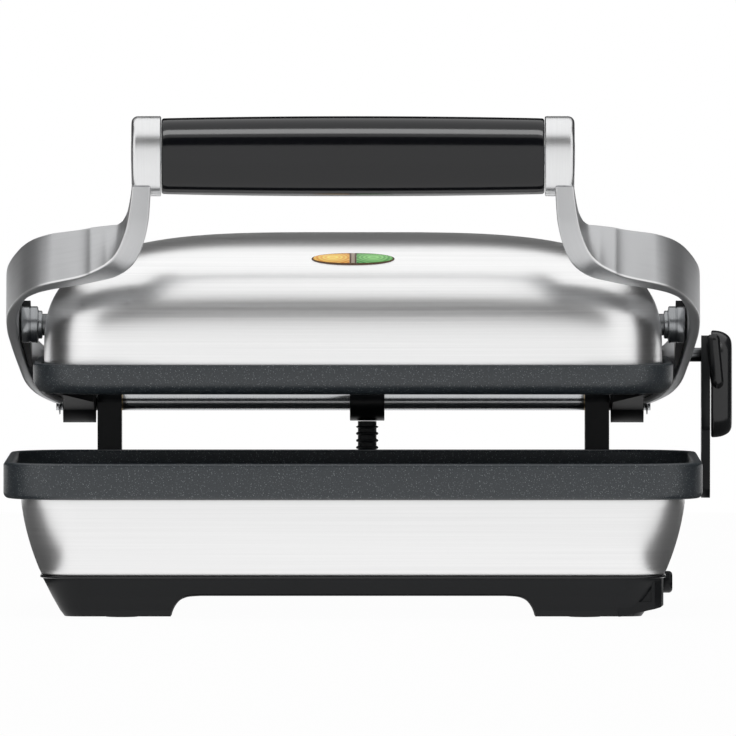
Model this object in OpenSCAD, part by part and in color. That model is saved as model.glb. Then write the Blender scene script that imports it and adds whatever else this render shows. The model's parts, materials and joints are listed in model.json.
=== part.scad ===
// Floating-lid contact grill (panini press): steel skinned base with a cast tray,
// a domed lid hung on two side pins, and bent flat arms that carry a round bar grip.
// Millimetres. X to the right, Y to the back, Z up. X = 0 is the plane of symmetry,
// Z = 0 the worktop and Y = 0 the middle of the lower tray. The lid is shown raised.

/* [Lower tray] */
// Width of the lower tray over its rim
tray_w = 395.5; // [380:1:420]
// Depth of the lower tray over its rim
tray_d = 262; // [250:1:280]
// Plan radius of the tray's corners
tray_r = 40; // [30:1:50]
// Height of the tray's rim above the worktop
tray_top = 88; // [84:1:94]
// Height of the tray wall, rim to underside
tray_h = 20.5; // [18:0.5:24]
// Thickness of the tray wall
tray_wall = 5; // [4:0.5:7]
// Depth of the cooking surface below the rim
tray_sink = 13.5; // [10:0.5:14.5]

/* [Base] */
// Distance that the tray overhangs the steel band
band_overhang = 10; // [6:0.5:14]
// Thickness of the steel band
band_t = 1.2; // [0.8:0.1:2]
// Height of the seam between plastic tub and steel band
seam_z = 24; // [20:1:30]
// Wall thickness of the plastic tub
tub_wall = 3; // [2:0.5:4]
// Draw-in of the tub from the seam down to the feet
tub_taper = 13; // [8:1:16]
// Height of the arch between the front feet
arch_h = 12.7; // [8:0.5:14]
// Width of the arch at the worktop
arch_w = 206; // [160:2:230]
// Radius of the rubber feet
foot_r = 9; // [6:0.5:10]
// Diameter of the cord gland
gland_d = 12.5; // [9:0.5:14]
// Radius of the cord bore in the gland
cord_r = 3.3; // [2.5:0.1:3.5]

/* [Hinge] */
// Height of the rear hinge shaft
hinge_z = 115; // [112:1:120]
// Distance of the hinge shaft behind the middle of the tray
hinge_y = 150; // [148:1:158]
// Radius of the hinge shaft
shaft_r = 5; // [4:0.5:6]
// Radial running clearance of every turning fit
run_gap = 0.05; // [0.02:0.01:0.09]
// Outer radius of the housing ears and arm barrels
ear_r = 12; // [10:0.5:13]
// Inner face of each housing ear, from the middle
ear_x = 134; // [120:1:136]
// Thickness of each housing ear
ear_t = 14; // [8:1:15]

/* [Arms] */
// Lean of the arms' straight run from the vertical, lid raised
arm_lean = 71; // [70.8:0.1:71.2]
// Width of the flat arm strip
arm_w = 30; // [28:0.2:32]
// Distance of the grip's axis in front of the middle of the tray
grip_front = 105.5; // [104:0.5:108]
// Height of the grip's axis
grip_z = 261; // [258:0.5:264]
// Length of the black grip
grip_l = 216; // [190:2:220]
// Grip size along the strip's width
grip_a = 48; // [42:1:50]
// Grip size across the strip's width
grip_b = 34; // [28:1:36]
// Length of the aluminium collar at each end of the grip
collar_l = 17; // [12:1:20]

/* [Lid] */
// Distance of the lid's pivot pins behind the middle of the tray
pin_y = 13; // [8:1:18]
// Height of the lid's pivot pins
pin_z = 163; // [160:0.5:166]
// Radius of the pivot pins
pin_r = 6.2; // [5:0.1:7]
// Width of the upper plate
plate_w = 363.2; // [350:1:364]
// Depth of the upper plate
plate_d = 224; // [210:1:226]
// Plan radius of the upper plate's corners
plate_r = 44; // [42:1:46]
// Height of the upper plate's rim above the worktop
plate_top = 143; // [142:0.5:144]
// Height of the upper plate, rim to grill ribs
plate_h = 17; // [14:0.5:18]
// Distance from the upper plate's rim to the dome
dome_inset = 5.5; // [5.5:0.5:10]
// Height of the dome from its seat to its crown
dome_h = 75; // [70:1:80]
// Sheet thickness of the dome
dome_t = 1.2; // [1:0.1:2]
// Number of grill ribs under the upper plate
rib_n = 33; // [21:2:37]
// Length of the indicator window
window_l = 47; // [40:1:54]
// Height of the indicator window along the slope
window_h = 12.4; // [10:0.2:14]

/* [Height lock] */
// Distance of the lock stud from the hinge shaft
lock_reach = 74.6; // [72:0.1:77]
// Radius of the lock stud
stud_r = 4; // [3:0.5:4.5]
// Thickness of the slotted lock plate
strut_t = 5; // [4:0.5:6]
// Height of the lock lever's paddle
paddle_h = 60; // [50:1:66]
// Thickness of the lock lever's paddle
paddle_t = 12; // [9:0.5:14]

/* [Conduits] */
// Outer diameter of the ribbed wire conduits
hose_d = 13; // [10:0.5:14]
// Bore of the ribbed wire conduits
hose_bore = 8; // [6:0.5:9]
// Spacing of the conduits' ribs
hose_pitch = 4; // [3.5:0.5:6]

/* [Hidden] */
$fn = 64;
seat_gap = 0.3;
eps = 0.01;

tray_bottom = tray_top - tray_h;
tray_floor = tray_top - tray_sink;
tray_floor_t = 4.5;
tray_under = tray_floor - tray_floor_t;

band_w = tray_w - 2 * band_overhang;
band_d = tray_d - 2 * band_overhang;
band_r = tray_r - 6;
band_top = tray_bottom - 2.5;
tub_floor = 16.5;
tub_floor_t = 2.5;
foot_clear = 0.6;
foot_y = band_d / 2 - 39;
rear_foot_x = ear_x - 4;
rear_foot_y = hinge_y - 2;
housing_w = 2 * (ear_x + ear_t);
housing_y0 = tray_d / 2 - band_overhang + 1;
housing_y1 = hinge_y + ear_r;
housing_top = tray_bottom - 5;
pan_t = 1.5;
pan_w = 210;
screw_r = 2.1;
screw_gap = 0.3;

element_r = 3.25;
element_z = tray_under - element_r - seat_gap;
element_x = tray_w / 2 - 47.75;
element_bend = 27;
reflector_t = 0.8;

// Axes of the arm frame: u along X, v up the arm, w across the strip towards the back
module arm_frame() {
  translate([0, hinge_y, hinge_z]) rotate([arm_lean, 0, 0]) children();
}
barrel_x0 = ear_x + ear_t + 1;
barrel_x1 = barrel_x0 + 19;
collar_x0 = grip_l / 2;
collar_x1 = collar_x0 + collar_l;
grip_lean = 60.2;

plate_floor_z = plate_top - plate_h + 2;
plate_floor_t = 4;
plate_wall = 4;
ledge_z = plate_top - 2.5;
lid_y = pin_y;
dome_a = plate_w / 2 - dome_inset;
dome_b = plate_d / 2 - dome_inset;
dome_z = ledge_z;
dome_square = 5;
dome_shoulder = 3.6;
dome_fall = 3;
dome_base = 6;

stud_angle = 67.1;
closing_swing = 20;
arm_outer_x = 197.4;
strut_x = max(tray_w / 2 + 2.25, arm_outer_x + 2.25);
lever_x = strut_x + strut_t + 0.8;

boss_r = 10.5;
boss_l = 12;
arm_inner_x = arm_outer_x - 7.9;

// Inset of the band's outline at a height below its top edge
function band_inset(t) = 0.1217 * t + 0.0039 * t * t;
seam_inset = band_inset(band_top - seam_z);
tub_foot_x = band_w / 2 - seam_inset - tub_taper;
foot_x = (arch_w / 2 + tub_foot_x) / 2 - 2.1;

// Points of a smooth curve through hand-picked points (Catmull-Rom)
function curve_at(p, i, t) =
  let(a = p[max(i - 1, 0)], b = p[i], c = p[i + 1], d = p[min(i + 2, len(p) - 1)])
  0.5 * ((2 * b) + (c - a) * t + (2 * a - 5 * b + 4 * c - d) * t * t
         + (3 * b - a - 3 * c + d) * t * t * t);
function smooth(p, steps) = [
  for (i = [0 : len(p) - 2], k = [0 : steps - 1]) curve_at(p, i, k / steps),
  p[len(p) - 1]
];
function reversed(p) = [for (i = [len(p) - 1 : -1 : 0]) p[i]];

// Sweeps a profile (x outward from the outline, y up) round a rounded rectangle
module sweep_rect(w, d, r) {
  for (sx = [0, 1], sy = [0, 1])
    mirror([sx, 0, 0]) mirror([0, sy, 0])
      translate([w / 2 - r, d / 2 - r, 0]) rotate_extrude(angle = 90) translate([r, 0]) children();
  for (s = [0, 1]) {
    mirror([s, 0, 0]) translate([w / 2, d / 2 - r, 0]) rotate([90, 0, 0])
      linear_extrude(d - 2 * r) children();
    mirror([0, s, 0]) translate([-(w / 2 - r), d / 2, 0]) rotate([90, 0, 90])
      linear_extrude(w - 2 * r) children();
  }
}

// Flat slab with a rounded rectangular plan
module slab(w, d, r, h) {
  linear_extrude(h) {
    square([w - 2 * r, d], center = true);
    square([w, d - 2 * r], center = true);
    for (sx = [-1, 1], sy = [-1, 1]) translate([sx * (w / 2 - r), sy * (d / 2 - r)]) circle(r);
  }
}

module both_sides() {
  children();
  mirror([1, 0, 0]) children();
}

module x_rod(r, x0, x1) {
  translate([x0, 0, 0]) rotate([0, 90, 0]) cylinder(r = r, h = x1 - x0);
}

// Black plastic tub: tapered skirt, floor, foot posts and the step that carries the band
module base_tub() {
  steps = 5;
  band_outer = [for (k = [0 : steps]) let(t = (band_top - seam_z) * k / steps)
                [-band_inset(t) - band_t - seat_gap, band_top - t]];
  skirt = [[-seam_inset, seam_z - 0.5], [-seam_inset - 0.45 * tub_taper, 12],
           [-seam_inset - 0.8 * tub_taper, 4], [-seam_inset - tub_taper, foot_clear]];
  step_x = band_outer[steps][0];
  inner = [for (p = reversed(concat(band_outer, [[step_x, seam_z - 4]], [skirt[1], skirt[2], skirt[3]])))
           [p[0] - tub_wall, p[1]]];
  floor_inset = seam_inset + 5;
  color("#26282b") difference() {
    union() {
      sweep_rect(band_w, band_d, band_r)
        polygon(concat(band_outer, [[step_x, seam_z - 0.5]], skirt, inner));
      translate([0, 0, tub_floor])
        slab(band_w - 2 * floor_inset, band_d - 2 * floor_inset, band_r - floor_inset, tub_floor_t);
      for (sx = [-1, 1], sy = [-1, 1])
        translate([sx * foot_x, sy * foot_y, 3]) cylinder(r = foot_r + 3, h = tub_floor - 2);
      cord_block();
    }
    front_arch();
    translate([-pan_w / 2 - 2, band_d / 2 - 34, -5]) cube([pan_w + 4, 60, tub_floor + 5]);
    translate([-pan_w / 2 - 2, band_d / 2 - floor_inset, -5]) cube([pan_w + 4, 40, tub_floor + 5.5]);
    for (sx = [-1, 1], sy = [-1, 1]) translate([sx * foot_x, sy * foot_y, -1]) cylinder(r = 2, h = 12);
    for (sx = [-1, 1], y = [-60, 0, 60])
      translate([sx * (pan_w / 2 - 8), y, 0]) cylinder(r = screw_r + screw_gap, h = 40);
    gland_place() translate([0, 0, -30]) cylinder(r = gland_d / 2 - 2 + seat_gap, h = 40);
  }
}

// Arch between the front feet: half outline from the worktop up to the flat ceiling
arch_side = [[0, -5], [0, 0.6], [-0.6, 3.4], [-2.2, 6.8], [-5.1, 10.2], [-9.6, 12.1], [-17, 12.7]];
module front_arch() {
  right = [for (p = arch_side) [arch_w / 2 + p[0], p[1] < 0 ? p[1] : p[1] * arch_h / 12.7]];
  left = [for (p = reversed(right)) [-p[0], p[1]]];
  translate([0, -band_d / 2 + 20, 0]) rotate([90, 0, 0]) linear_extrude(70, center = true)
    polygon(concat(right, left));
}

// Upright corner block on the right that carries the cord gland: its underside rises
// outwards, and a shallow panel is sunk into its front face
block_x = band_w / 2 - seam_inset - 0.5;
block_y = 21 - band_d / 2;
module cord_block() {
  rise = 5;
  difference() {
    intersection() {
      linear_extrude(seam_z - 0.5) polygon([
        [block_x - 25.7, block_y], [block_x - 5.2, block_y], [block_x - 1.2, block_y + 7],
        [block_x, block_y + 16], [block_x, block_y + 144], [block_x - 25.7, block_y + 144]
      ]);
      rotate([90, 0, 0]) linear_extrude(400, center = true) polygon([
        [block_x - 26, foot_clear], [block_x - 24.7, foot_clear], [block_x - 2, foot_clear + rise],
        [block_x + 1, foot_clear + rise + 1.5], [block_x + 1, seam_z + 1], [block_x - 9.5, seam_z + 1],
        [block_x - 9.5, tub_floor + tub_floor_t], [block_x - 26, tub_floor + tub_floor_t]
      ]);
    }
    translate([0, block_y + 1.2, 0]) rotate([90, 0, 0]) linear_extrude(5) polygon([
      [block_x - 14.2, foot_clear + 8.4], [block_x - 7, foot_clear + 8.4],
      [block_x - 7, seam_z - 2.4], [block_x - 9.5, seam_z - 2.4]
    ]);
  }
}
module gland_place() {
  translate([block_x, 12, seam_z - 8]) rotate([0, 90, 0]) children();
}

// Brushed steel band round the base
module base_band() {
  steps = 8;
  outer = [for (k = [0 : steps]) let(t = (band_top - seam_z) * k / steps)
           [-band_inset(t), band_top - t]];
  inner = [for (p = reversed(outer)) [p[0] - band_t, p[1]]];
  color("#c9cacb") sweep_rect(band_w, band_d, band_r) polygon(concat(outer, inner));
}

// Steel bottom pan that ties the tub to the rear housing
module base_pan() {
  y0 = 31 - band_d / 2;
  y1 = rear_foot_y + 6;
  color("#8d9093") difference() {
    translate([-pan_w / 2, y0, tub_floor - pan_t]) cube([pan_w, y1 - y0, pan_t]);
    for (sx = [-1, 1], y = [-60, 0, 60, rear_foot_y - 6])
      translate([sx * (pan_w / 2 - 8), y, 0]) cylinder(r = screw_r + screw_gap, h = 40);
    for (x = [-60 : 20 : 60], y = [-40, 10]) {
      translate([x, y, 0]) {
        translate([-3, 0, 0]) cube([6, 30, 40]);
        for (dy = [0, 30]) translate([0, dy, 0]) cylinder(r = 3, h = 40);
      }
    }
  }
}

// Black rear housing with the two ears that hold the hinge shaft
module rear_housing() {
  color("#26282b") difference() {
    union() {
      translate([-housing_w / 2, housing_y0, tub_floor]) cube([housing_w, housing_y1 - housing_y0,
                                                              housing_top - tub_floor]);
      both_sides() {
        translate([ear_x, hinge_y, hinge_z]) x_rod(ear_r, 0, ear_t);
        translate([ear_x, hinge_y - ear_r, housing_top - 1])
          cube([ear_t, 2 * ear_r, hinge_z - housing_top + 1]);
        translate([rear_foot_x - 16, rear_foot_y - 14, 3]) cube([32, 28, tub_floor - 3 + eps]);
      }
    }
    translate([0, hinge_y, hinge_z]) x_rod(shaft_r + 2, -200, 200);
    translate([-housing_w / 2 + 8, housing_y0 + 4, tub_floor + 4])
      cube([housing_w - 16, housing_y1 - housing_y0 - 8, housing_top - tub_floor - 8]);
    translate([hub_x, hinge_y, housing_top - 8]) cylinder(r = hose_d / 2 + seat_gap, h = 10);
    for (sx = [-1, 1]) {
      translate([sx * (pan_w / 2 - 8), rear_foot_y - 6, 0]) cylinder(r = screw_r + screw_gap, h = 24);
      translate([sx * rear_foot_x, rear_foot_y, -1]) cylinder(r = 2, h = 12);
    }
  }
}

// Rubber foot pads on stems: four under the tub and two under the rear housing
module rubber_feet() {
  color("#1b1c1e") {
    for (sx = [-1, 1], sy = [-1, 1]) foot_pad(sx * foot_x, sy * foot_y);
    for (sx = [-1, 1]) foot_pad(sx * rear_foot_x, rear_foot_y);
  }
}
module foot_pad(x, y) {
  translate([x, y, 0]) {
    cylinder(r = foot_r, h = 3);
    cylinder(r = 2 - 0.1, h = 9);
  }
}

// Screws that hold the bottom pan
module base_screws() {
  color("#b9bcbe") {
    for (sx = [-1, 1], y = [-60, 0, 60, rear_foot_y - 6])
      translate([sx * (pan_w / 2 - 8), y, tub_floor - pan_t]) {
        translate([0, 0, -2.2]) cylinder(r = 3.8, h = 2.2);
        cylinder(r = screw_r, h = pan_t + tub_floor_t + 1);
      }
  }
}

// Cord gland: rounded plastic stub on the cord block, with the cord's bore
module cord_gland() {
  r = gland_d / 2;
  proud = 6.7;
  round = 2.2;
  color("#2a2c2f") gland_place() rotate_extrude() difference() {
    union() {
      square([r - 2, proud]);
      translate([0, 0.05]) square([r, proud - round]);
      square([r - round, proud]);
      translate([r - round, proud - round]) circle(r = round);
      translate([0, -6]) square([r - 2, 7]);
    }
    translate([-10, -20]) square([10, 40]);
    translate([0, -20]) square([cord_r, 40]);
  }
}

// Mains terminal block on the tub floor
block_w = 18;
block_l = 40;
module terminal_block() {
  color("#d8d2c4") translate([band_w / 2 - 67.75, -block_l * 0.75, tub_floor + tub_floor_t]) difference() {
    cube([block_w, block_l, 16]);
    for (k = [0.2, 0.5, 0.8]) translate([0, k * block_l, 0]) {
      translate([block_w / 2, 0, 6]) cylinder(r = 2.2, h = 12);
      translate([-1, 0, 5]) rotate([0, 90, 0]) cylinder(r = 1.8, h = block_w + 2);
    }
  }
}

// Cast lower tray: rim wall, flat cooking surface, screw bosses underneath
module lower_plate() {
  t = tray_wall;
  color("#3f4245") union() {
    sweep_rect(tray_w, tray_d, tray_r) polygon([
      [-3, tray_bottom], [-1, tray_bottom + 0.8], [0, tray_bottom + 3], [0, tray_top - 1.5],
      [-0.6, tray_top - 0.4], [-1.6, tray_top], [-t + 1, tray_top], [-t, tray_top - 1],
      [-t - 1.5, tray_floor + 4], [-t - 5, tray_floor], [-t - 12, tray_floor],
      [-t - 12, tray_under], [-16, tray_bottom]
    ]);
    translate([0, 0, tray_under])
      slab(tray_w - 30, tray_d - 30, tray_r - 15, tray_floor_t);
    for (sx = [-1, 1], sy = [-1, 1])
      translate([sx * boss_x, sy * boss_y, tray_under - 12]) difference() {
        cylinder(r = 5, h = 12 + eps);
        translate([0, 0, -1]) cylinder(r = screw_r, h = 10);
      }
  }
}
boss_x = tray_w / 2 - 37.75;
boss_y = tray_d / 2 - 43;

// Bent tube heating element: straight runs joined by half-round bends, along X
module element(z, half_x, bend, legs) {
  for (k = [0 : legs - 1])
    translate([0, (k - (legs - 1) / 2) * 2 * bend, z]) x_rod(element_r, -half_x, half_x);
  for (k = [0 : legs - 2])
    translate([(k % 2 == 0 ? 1 : -1) * half_x, (k - (legs - 2) / 2) * 2 * bend, z])
      rotate([0, 0, k % 2 == 0 ? -90 : 90])
        rotate_extrude(angle = 180) translate([bend, 0]) circle(r = element_r, $fn = 24);
}

module lower_element() {
  color("#5b5d60") element(element_z, element_x - element_bend, element_bend, 4);
}

// Sheet reflector under the lower element, with flanged sides
module lower_reflector() {
  z = element_z - element_r - seat_gap - reflector_t;
  color("#b4b7b9") difference() {
    union() {
      translate([0, 0, z]) slab(tray_w - 60, tray_d - 60, 20, reflector_t);
      translate([0, 0, z - 12]) sweep_rect(tray_w - 60, tray_d - 60, 20)
        square([reflector_t, 12.5]);
    }
    for (sx = [-1, 1], sy = [-1, 1])
      translate([sx * boss_x, sy * boss_y, 0]) cylinder(r = 5.5, h = 100);
    thermostat_place() cylinder(r = 10.5, h = 30, center = true);
  }
}

module thermostat_place() {
  translate([60, 0, tray_under - seat_gap]) children();
}

// Thermostat disc pressed under the lower tray
module lower_thermostat() {
  color("#cfc9bb") thermostat_place() {
    translate([0, 0, -6]) cylinder(r = 9, h = 6);
    translate([0, 0, -14]) cylinder(r = 5, h = 9);
    for (s = [-1, 1]) translate([s * 7.5 - 1.5, -0.5, -16]) cube([3, 1, 10.5]);
  }
}

// Screws that pull the lower tray down on the tub floor
module plate_screws() {
  z0 = tub_floor + tub_floor_t;
  color("#b9bcbe") for (sx = [-1, 1], sy = [-1, 1])
    translate([sx * boss_x, sy * boss_y, z0]) {
      cylinder(r = 4.6, h = tray_under - 12 - seat_gap - z0);
      cylinder(r = screw_r - 0.1, h = tray_under - 5 - z0);
    }
}

// Plain bearing bushes in the housing ears
module hinge_bushes() {
  color("#a98a4e") both_sides() translate([ear_x, hinge_y, hinge_z]) difference() {
    x_rod(shaft_r + 2, 0, ear_t);
    x_rod(shaft_r + run_gap, -1, ear_t + 1);
  }
}

// Slotted lock plate beside the tray: an arc slot about the hinge guides the stud
module lock_strut() {
  slot_r = stud_r + 0.6;
  margin = 10.5;
  low_turn = stud_angle + closing_swing - 90 + 1.2;
  low_z = -lock_reach * sin(low_turn);
  bar_z = tray_top - 26 - hinge_z;
  front = -lock_reach - margin;
  knee = -14;
  bar_y = tray_d / 2 + 3;
  bar_end = bar_y + 5.2 - hinge_y;
  color("#232527") {
    translate([strut_x, hinge_y, hinge_z]) rotate([90, 0, 90]) linear_extrude(strut_t) difference() {
      union() {
        intersection() {
          difference() {
            circle(r = lock_reach + margin);
            circle(r = lock_reach - margin);
          }
          polygon([[0, knee], [0, 0], [-160, 86], [-160, knee]]);
        }
        translate([front + 1.2, bar_z + 6]) square([2 * margin - 0.6, knee - bar_z]);
        translate([front + 7.2, bar_z]) square([bar_end - front - 7.2, 14]);
        translate([front + 7.2, bar_z + 6]) circle(r = 6);
      }
      difference() {
        circle(r = lock_reach + slot_r);
        circle(r = lock_reach - slot_r);
        translate([-200, -400 + low_z]) square([400, 400]);
        translate([0, -200]) square([200, 400]);
      }
      rotate(low_turn) translate([-lock_reach, 0]) circle(r = slot_r);
    }
    translate([housing_w / 2 + seat_gap, bar_y, bar_z + hinge_z])
      cube([strut_x - housing_w / 2, 8, 14]);
    translate([housing_w / 2 + seat_gap, bar_y, housing_top - 20])
      cube([6, 8, bar_z + hinge_z - housing_top + 26]);
  }
}

// Wire conduit along a route: rings of two radii make the ribs, a smaller sweep the bore
hose_sides = 8;
module tube_sweep(route, radii) {
  n = len(route);
  rings = [for (i = [0 : n - 1])
    let(ahead = route[min(i + 1, n - 1)] - route[max(i - 1, 0)], d = ahead / norm(ahead),
        s0 = [1, 0, 0] - d * d[0], s = s0 / norm(s0), q = cross(d, s))
    [for (k = [0 : hose_sides - 1]) let(a = 360 * k / hose_sides)
      route[i] + radii[i] * (cos(a) * s + sin(a) * q)]];
  polyhedron(points = [for (r = rings, p = r) p], faces = concat(
    [for (i = [0 : n - 2], k = [0 : hose_sides - 1], h = [0, 1])
      let(a = i * hose_sides + k, b = i * hose_sides + (k + 1) % hose_sides)
      h == 0 ? [a, a + hose_sides, b + hose_sides] : [a, b + hose_sides, b]],
    [[for (k = [0 : hose_sides - 1]) k],
     [for (k = [hose_sides - 1 : -1 : 0]) (n - 1) * hose_sides + k]]), convexity = 6);
}
module ribbed_hose(path) {
  crest = hose_d / 2;
  valley = crest - 0.45 * (hose_d - hose_bore) / 2;
  n = len(path);
  radii = [for (i = [0 : n - 1]) i < 3 || i > n - 4 || i % 4 == 0 || i % 4 == 3 ? valley : crest];
  core = concat([2 * path[0] - path[1]], [for (i = [1 : n - 2]) path[i]], [2 * path[n - 1] - path[n - 2]]);
  difference() {
    tube_sweep(path, radii);
    tube_sweep(core, [for (p = core) hose_bore / 2]);
  }
}
hub_x = 8;
hub_r = 11;
socket_x = -6;
socket_z = plate_top + 11;
socket_y = lid_y + dome_b + 3;

// Points along a straight start, a bend and a straight end
function bend_point(a, da, b, db, t) =
  let(u = 1 - t, p1 = a + da, p2 = b - db)
  u * u * u * a + 3 * u * u * t * p1 + 3 * u * t * t * p2 + t * t * t * b;

// Lower conduit: from the rear housing up to the hub on the hinge shaft
module lower_conduit() {
  z0 = housing_top - 7.5;
  z1 = hinge_z - hub_r - seat_gap;
  count = 4 * floor((z1 - z0) / hose_pitch) - 1;
  color("#1f2123") ribbed_hose([for (i = [0 : count]) [hub_x, hinge_y, z0 + (z1 - z0) * i / count]]);
}

// Steel shaft across the rear, the axis of both hinge motions
module hinge_shaft() {
  color("#a9acaf") translate([0, hinge_y, hinge_z]) difference() {
    x_rod(shaft_r, -barrel_x1 - 4, barrel_x1 + 4);
    for (s = [-1, 1]) translate([s * (barrel_x1 + 2), 0, 0]) rotate([0, 90, 0]) difference() {
      cylinder(r = shaft_r + 2, h = 1, center = true);
      cylinder(r = shaft_r - 0.8, h = 2, center = true);
    }
  }
}

// Retaining rings in the shaft's end grooves
module shaft_clips() {
  color("#7b7e81") both_sides() translate([barrel_x1 + 2, hinge_y, hinge_z]) rotate([0, 90, 0]) difference() {
    cylinder(r = shaft_r + 2.4, h = 0.8, center = true);
    cylinder(r = shaft_r - 0.7, h = 2, center = true);
    translate([0, 5, 0]) cube([6, 10, 3], center = true);
  }
}

// Cable hub fixed on the shaft, where the two conduits meet
module conduit_hub() {
  color("#232527") translate([hub_x, hinge_y, hinge_z]) difference() {
    x_rod(hub_r, -10, 10);
    x_rod(shaft_r, -11, 11);
  }
}

// Front edge of the bent arm strip: inner x, inner z, outer x, outer z, up the arm
arm_edge = [
  [167.6, 114.6, 173, 115.3], [173.5, 117.5, 178.5, 117.9], [178.8, 121.3, 184, 121.5],
  [184, 128.4, 189, 127.9], [187.3, 138.8, 192.3, 138], [189.9, 150.5, 195.4, 149.5],
  [191.2, 159.6, 197.4, 160], [190.6, 168.5, 196.4, 170], [186.3, 177.9, 189.5, 179.6],
  [180.5, 182, 182, 185.1], [170.9, 184.8, 172, 188.6], [154, 187.7, 155, 192.4],
  [144.9, 189.6, 147, 195.6], [134.5, 192.1, 139.5, 200], [126.7, 196.6, 134.2, 205.6],
  [121.6, 202.8, 131.2, 211.5], [117.7, 212.7, 128.6, 219], [115.3, 224, 127, 226],
  [114.4, 235, 125.6, 235], [114, 244, 124.6, 244]
];
// Height of the front edge: its depth, the strip's lean there and the strip's width share
arm_side = [
  [100, 160.4, 71, 1], [189, -98.3, 71, 1], [195, -111.5, 60, 1], [200, -117.2, 48, 0.99],
  [206, -120.6, 34, 0.97], [214, -122, 22, 0.95], [224, -122.3, 13, 0.92], [244, -121.5, 6, 0.9]
];
function arm_at(z, k) = lookup(z, [for (s = arm_side) [s[0], s[k]]]);
function edge_pair(x, z) =
  let(y = arm_at(z, 1), lean = arm_at(z, 2), w = arm_w * arm_at(z, 3))
  [[x, y, z], [x, y + w * cos(lean), z + w * sin(lean)]];

// Flat bar lofted through the edge points: front and back edges of both faces
module strip_loft(stations) {
  n = len(stations);
  rings = [for (q = stations) let(a = edge_pair(q[0], q[1]), b = edge_pair(q[2], q[3]))
           [a[0], b[0], b[1], a[1]]];
  polyhedron(points = [for (r = rings, p = r) p], faces = concat(
    [for (i = [0 : n - 2], k = [0 : 3], h = [0, 1]) let(a = 4 * i + k, b = 4 * i + (k + 1) % 4)
      h == 0 ? [a, a + 4, b + 4] : [a, b + 4, b]],
    [[0, 1, 2, 3], [4 * n - 1, 4 * n - 2, 4 * n - 3, 4 * n - 4]]), convexity = 8);
}

module arm(stud_hole = false) {
  color("#b7b9bb") difference() {
    union() {
      strip_loft(smooth(arm_edge, 3));
      grip_section(collar_x0 + seat_gap, collar_x1);
    }
    grip_axis() {
      x_rod(rod_r + 0.2, collar_x0 - 1, collar_x1 - 4);
      x_rod(screw_r + screw_gap, collar_x0 - 1, collar_x1 + 5);
    }
    if (stud_hole) lock_place() x_rod(stud_r, 150, 220);
  }
}
rod_r = 5;

module grip_axis() {
  translate([0, -grip_front, grip_z]) rotate([grip_lean, 0, 0]) children();
}

// Oval bar from x0 to x1 about the grip's axis
module grip_section(x0, x1) {
  a = grip_a / 2;
  b = grip_b / 2;
  flat = a - b;
  grip_axis() rotate([0, 90, 0]) translate([0, 0, x0]) linear_extrude(x1 - x0) {
    for (s = [-1, 1]) translate([0, s * flat]) circle(r = b);
    square([2 * b, 2 * flat], center = true);
  }
}

module arm_right() arm(stud_hole = true);
module arm_left() mirror([1, 0, 0]) arm();

// Black liner: hinge barrel with its web up to the strip, and a cover strip inside the arm
strip_w = 4.25;
liner_web = [
  [barrel_x0 + 0.5, 4], [barrel_x1 - 0.5, 4], [barrel_x1 - 0.4, 16], [166.9, 30], [172.7, 39],
  [178.2, 50.7], [177.4, 50.9], [171.6, 41.5], [160, 32], [150, 24]
];
liner_cover = [
  [186.1, 92], [187, 104.5], [189.4, 140], [189.5, 142], [184.4, 142], [184.4, 92]
];
module liner() {
  half = arm_w / 2 - 3;
  color("#232527") difference() {
    union() {
      arm_frame() {
        for (outline = [liner_web, liner_cover]) rotate([90, 0, 0])
          translate([0, 0, -half - strip_w]) linear_extrude(2 * half) polygon(outline);
      }
      translate([0, hinge_y, hinge_z]) x_rod(ear_r, barrel_x0, barrel_x1);
    }
    translate([0, hinge_y, hinge_z]) x_rod(shaft_r + run_gap, barrel_x0 - 1, barrel_x1 + 1);
    translate([0, pin_y, pin_z]) x_rod(boss_r + seat_gap, arm_inner_x - 19.5, arm_inner_x + 10.5);
  }
}
module liner_right() liner();
module liner_left() mirror([1, 0, 0]) liner();

// Gloss black bar grip, hollow over its tie rod
module grip() {
  color("#141517") difference() {
    grip_section(-grip_l / 2, grip_l / 2);
    grip_axis() x_rod(rod_r + 0.2, -grip_l / 2 - 1, grip_l / 2 + 1);
  }
}

// Steel tie rod through the grip into both collars
module grip_rod() {
  color("#a9acaf") grip_axis() difference() {
    x_rod(rod_r, -collar_x1 + 4.5, collar_x1 - 4.5);
    both_sides() x_rod(screw_r, collar_x1 - 14, collar_x1);
  }
}

// Screws through the collars into the tie rod
module grip_screws() {
  color("#8d9093") both_sides() grip_axis() {
    x_rod(screw_r - 0.05, collar_x1 - 12, collar_x1 + 0.3);
    x_rod(4, collar_x1 + 0.3, collar_x1 + 1.8);
  }
}

// Dark metal boss inside the arm that holds the lid's pivot pin
module pivot_boss() {
  color("#4a4c4f") translate([0, pin_y, pin_z]) difference() {
    x_rod(boss_r, arm_inner_x - boss_l, arm_inner_x - 0.6);
    x_rod(pin_r, arm_inner_x - boss_l - 1, arm_inner_x - 3);
  }
}
module pivot_boss_right() pivot_boss();
module pivot_boss_left() mirror([1, 0, 0]) pivot_boss();

// Pivot pin from the boss through the dome's side into its bush
module pivot_pin() {
  color("#6f7275") translate([0, pin_y, pin_z]) x_rod(pin_r, bush_x0 + 1, arm_inner_x - 3.2);
}
module pivot_pin_right() pivot_pin();
module pivot_pin_left() mirror([1, 0, 0]) pivot_pin();
bush_x0 = 146;
bush_x1 = 164;

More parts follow.
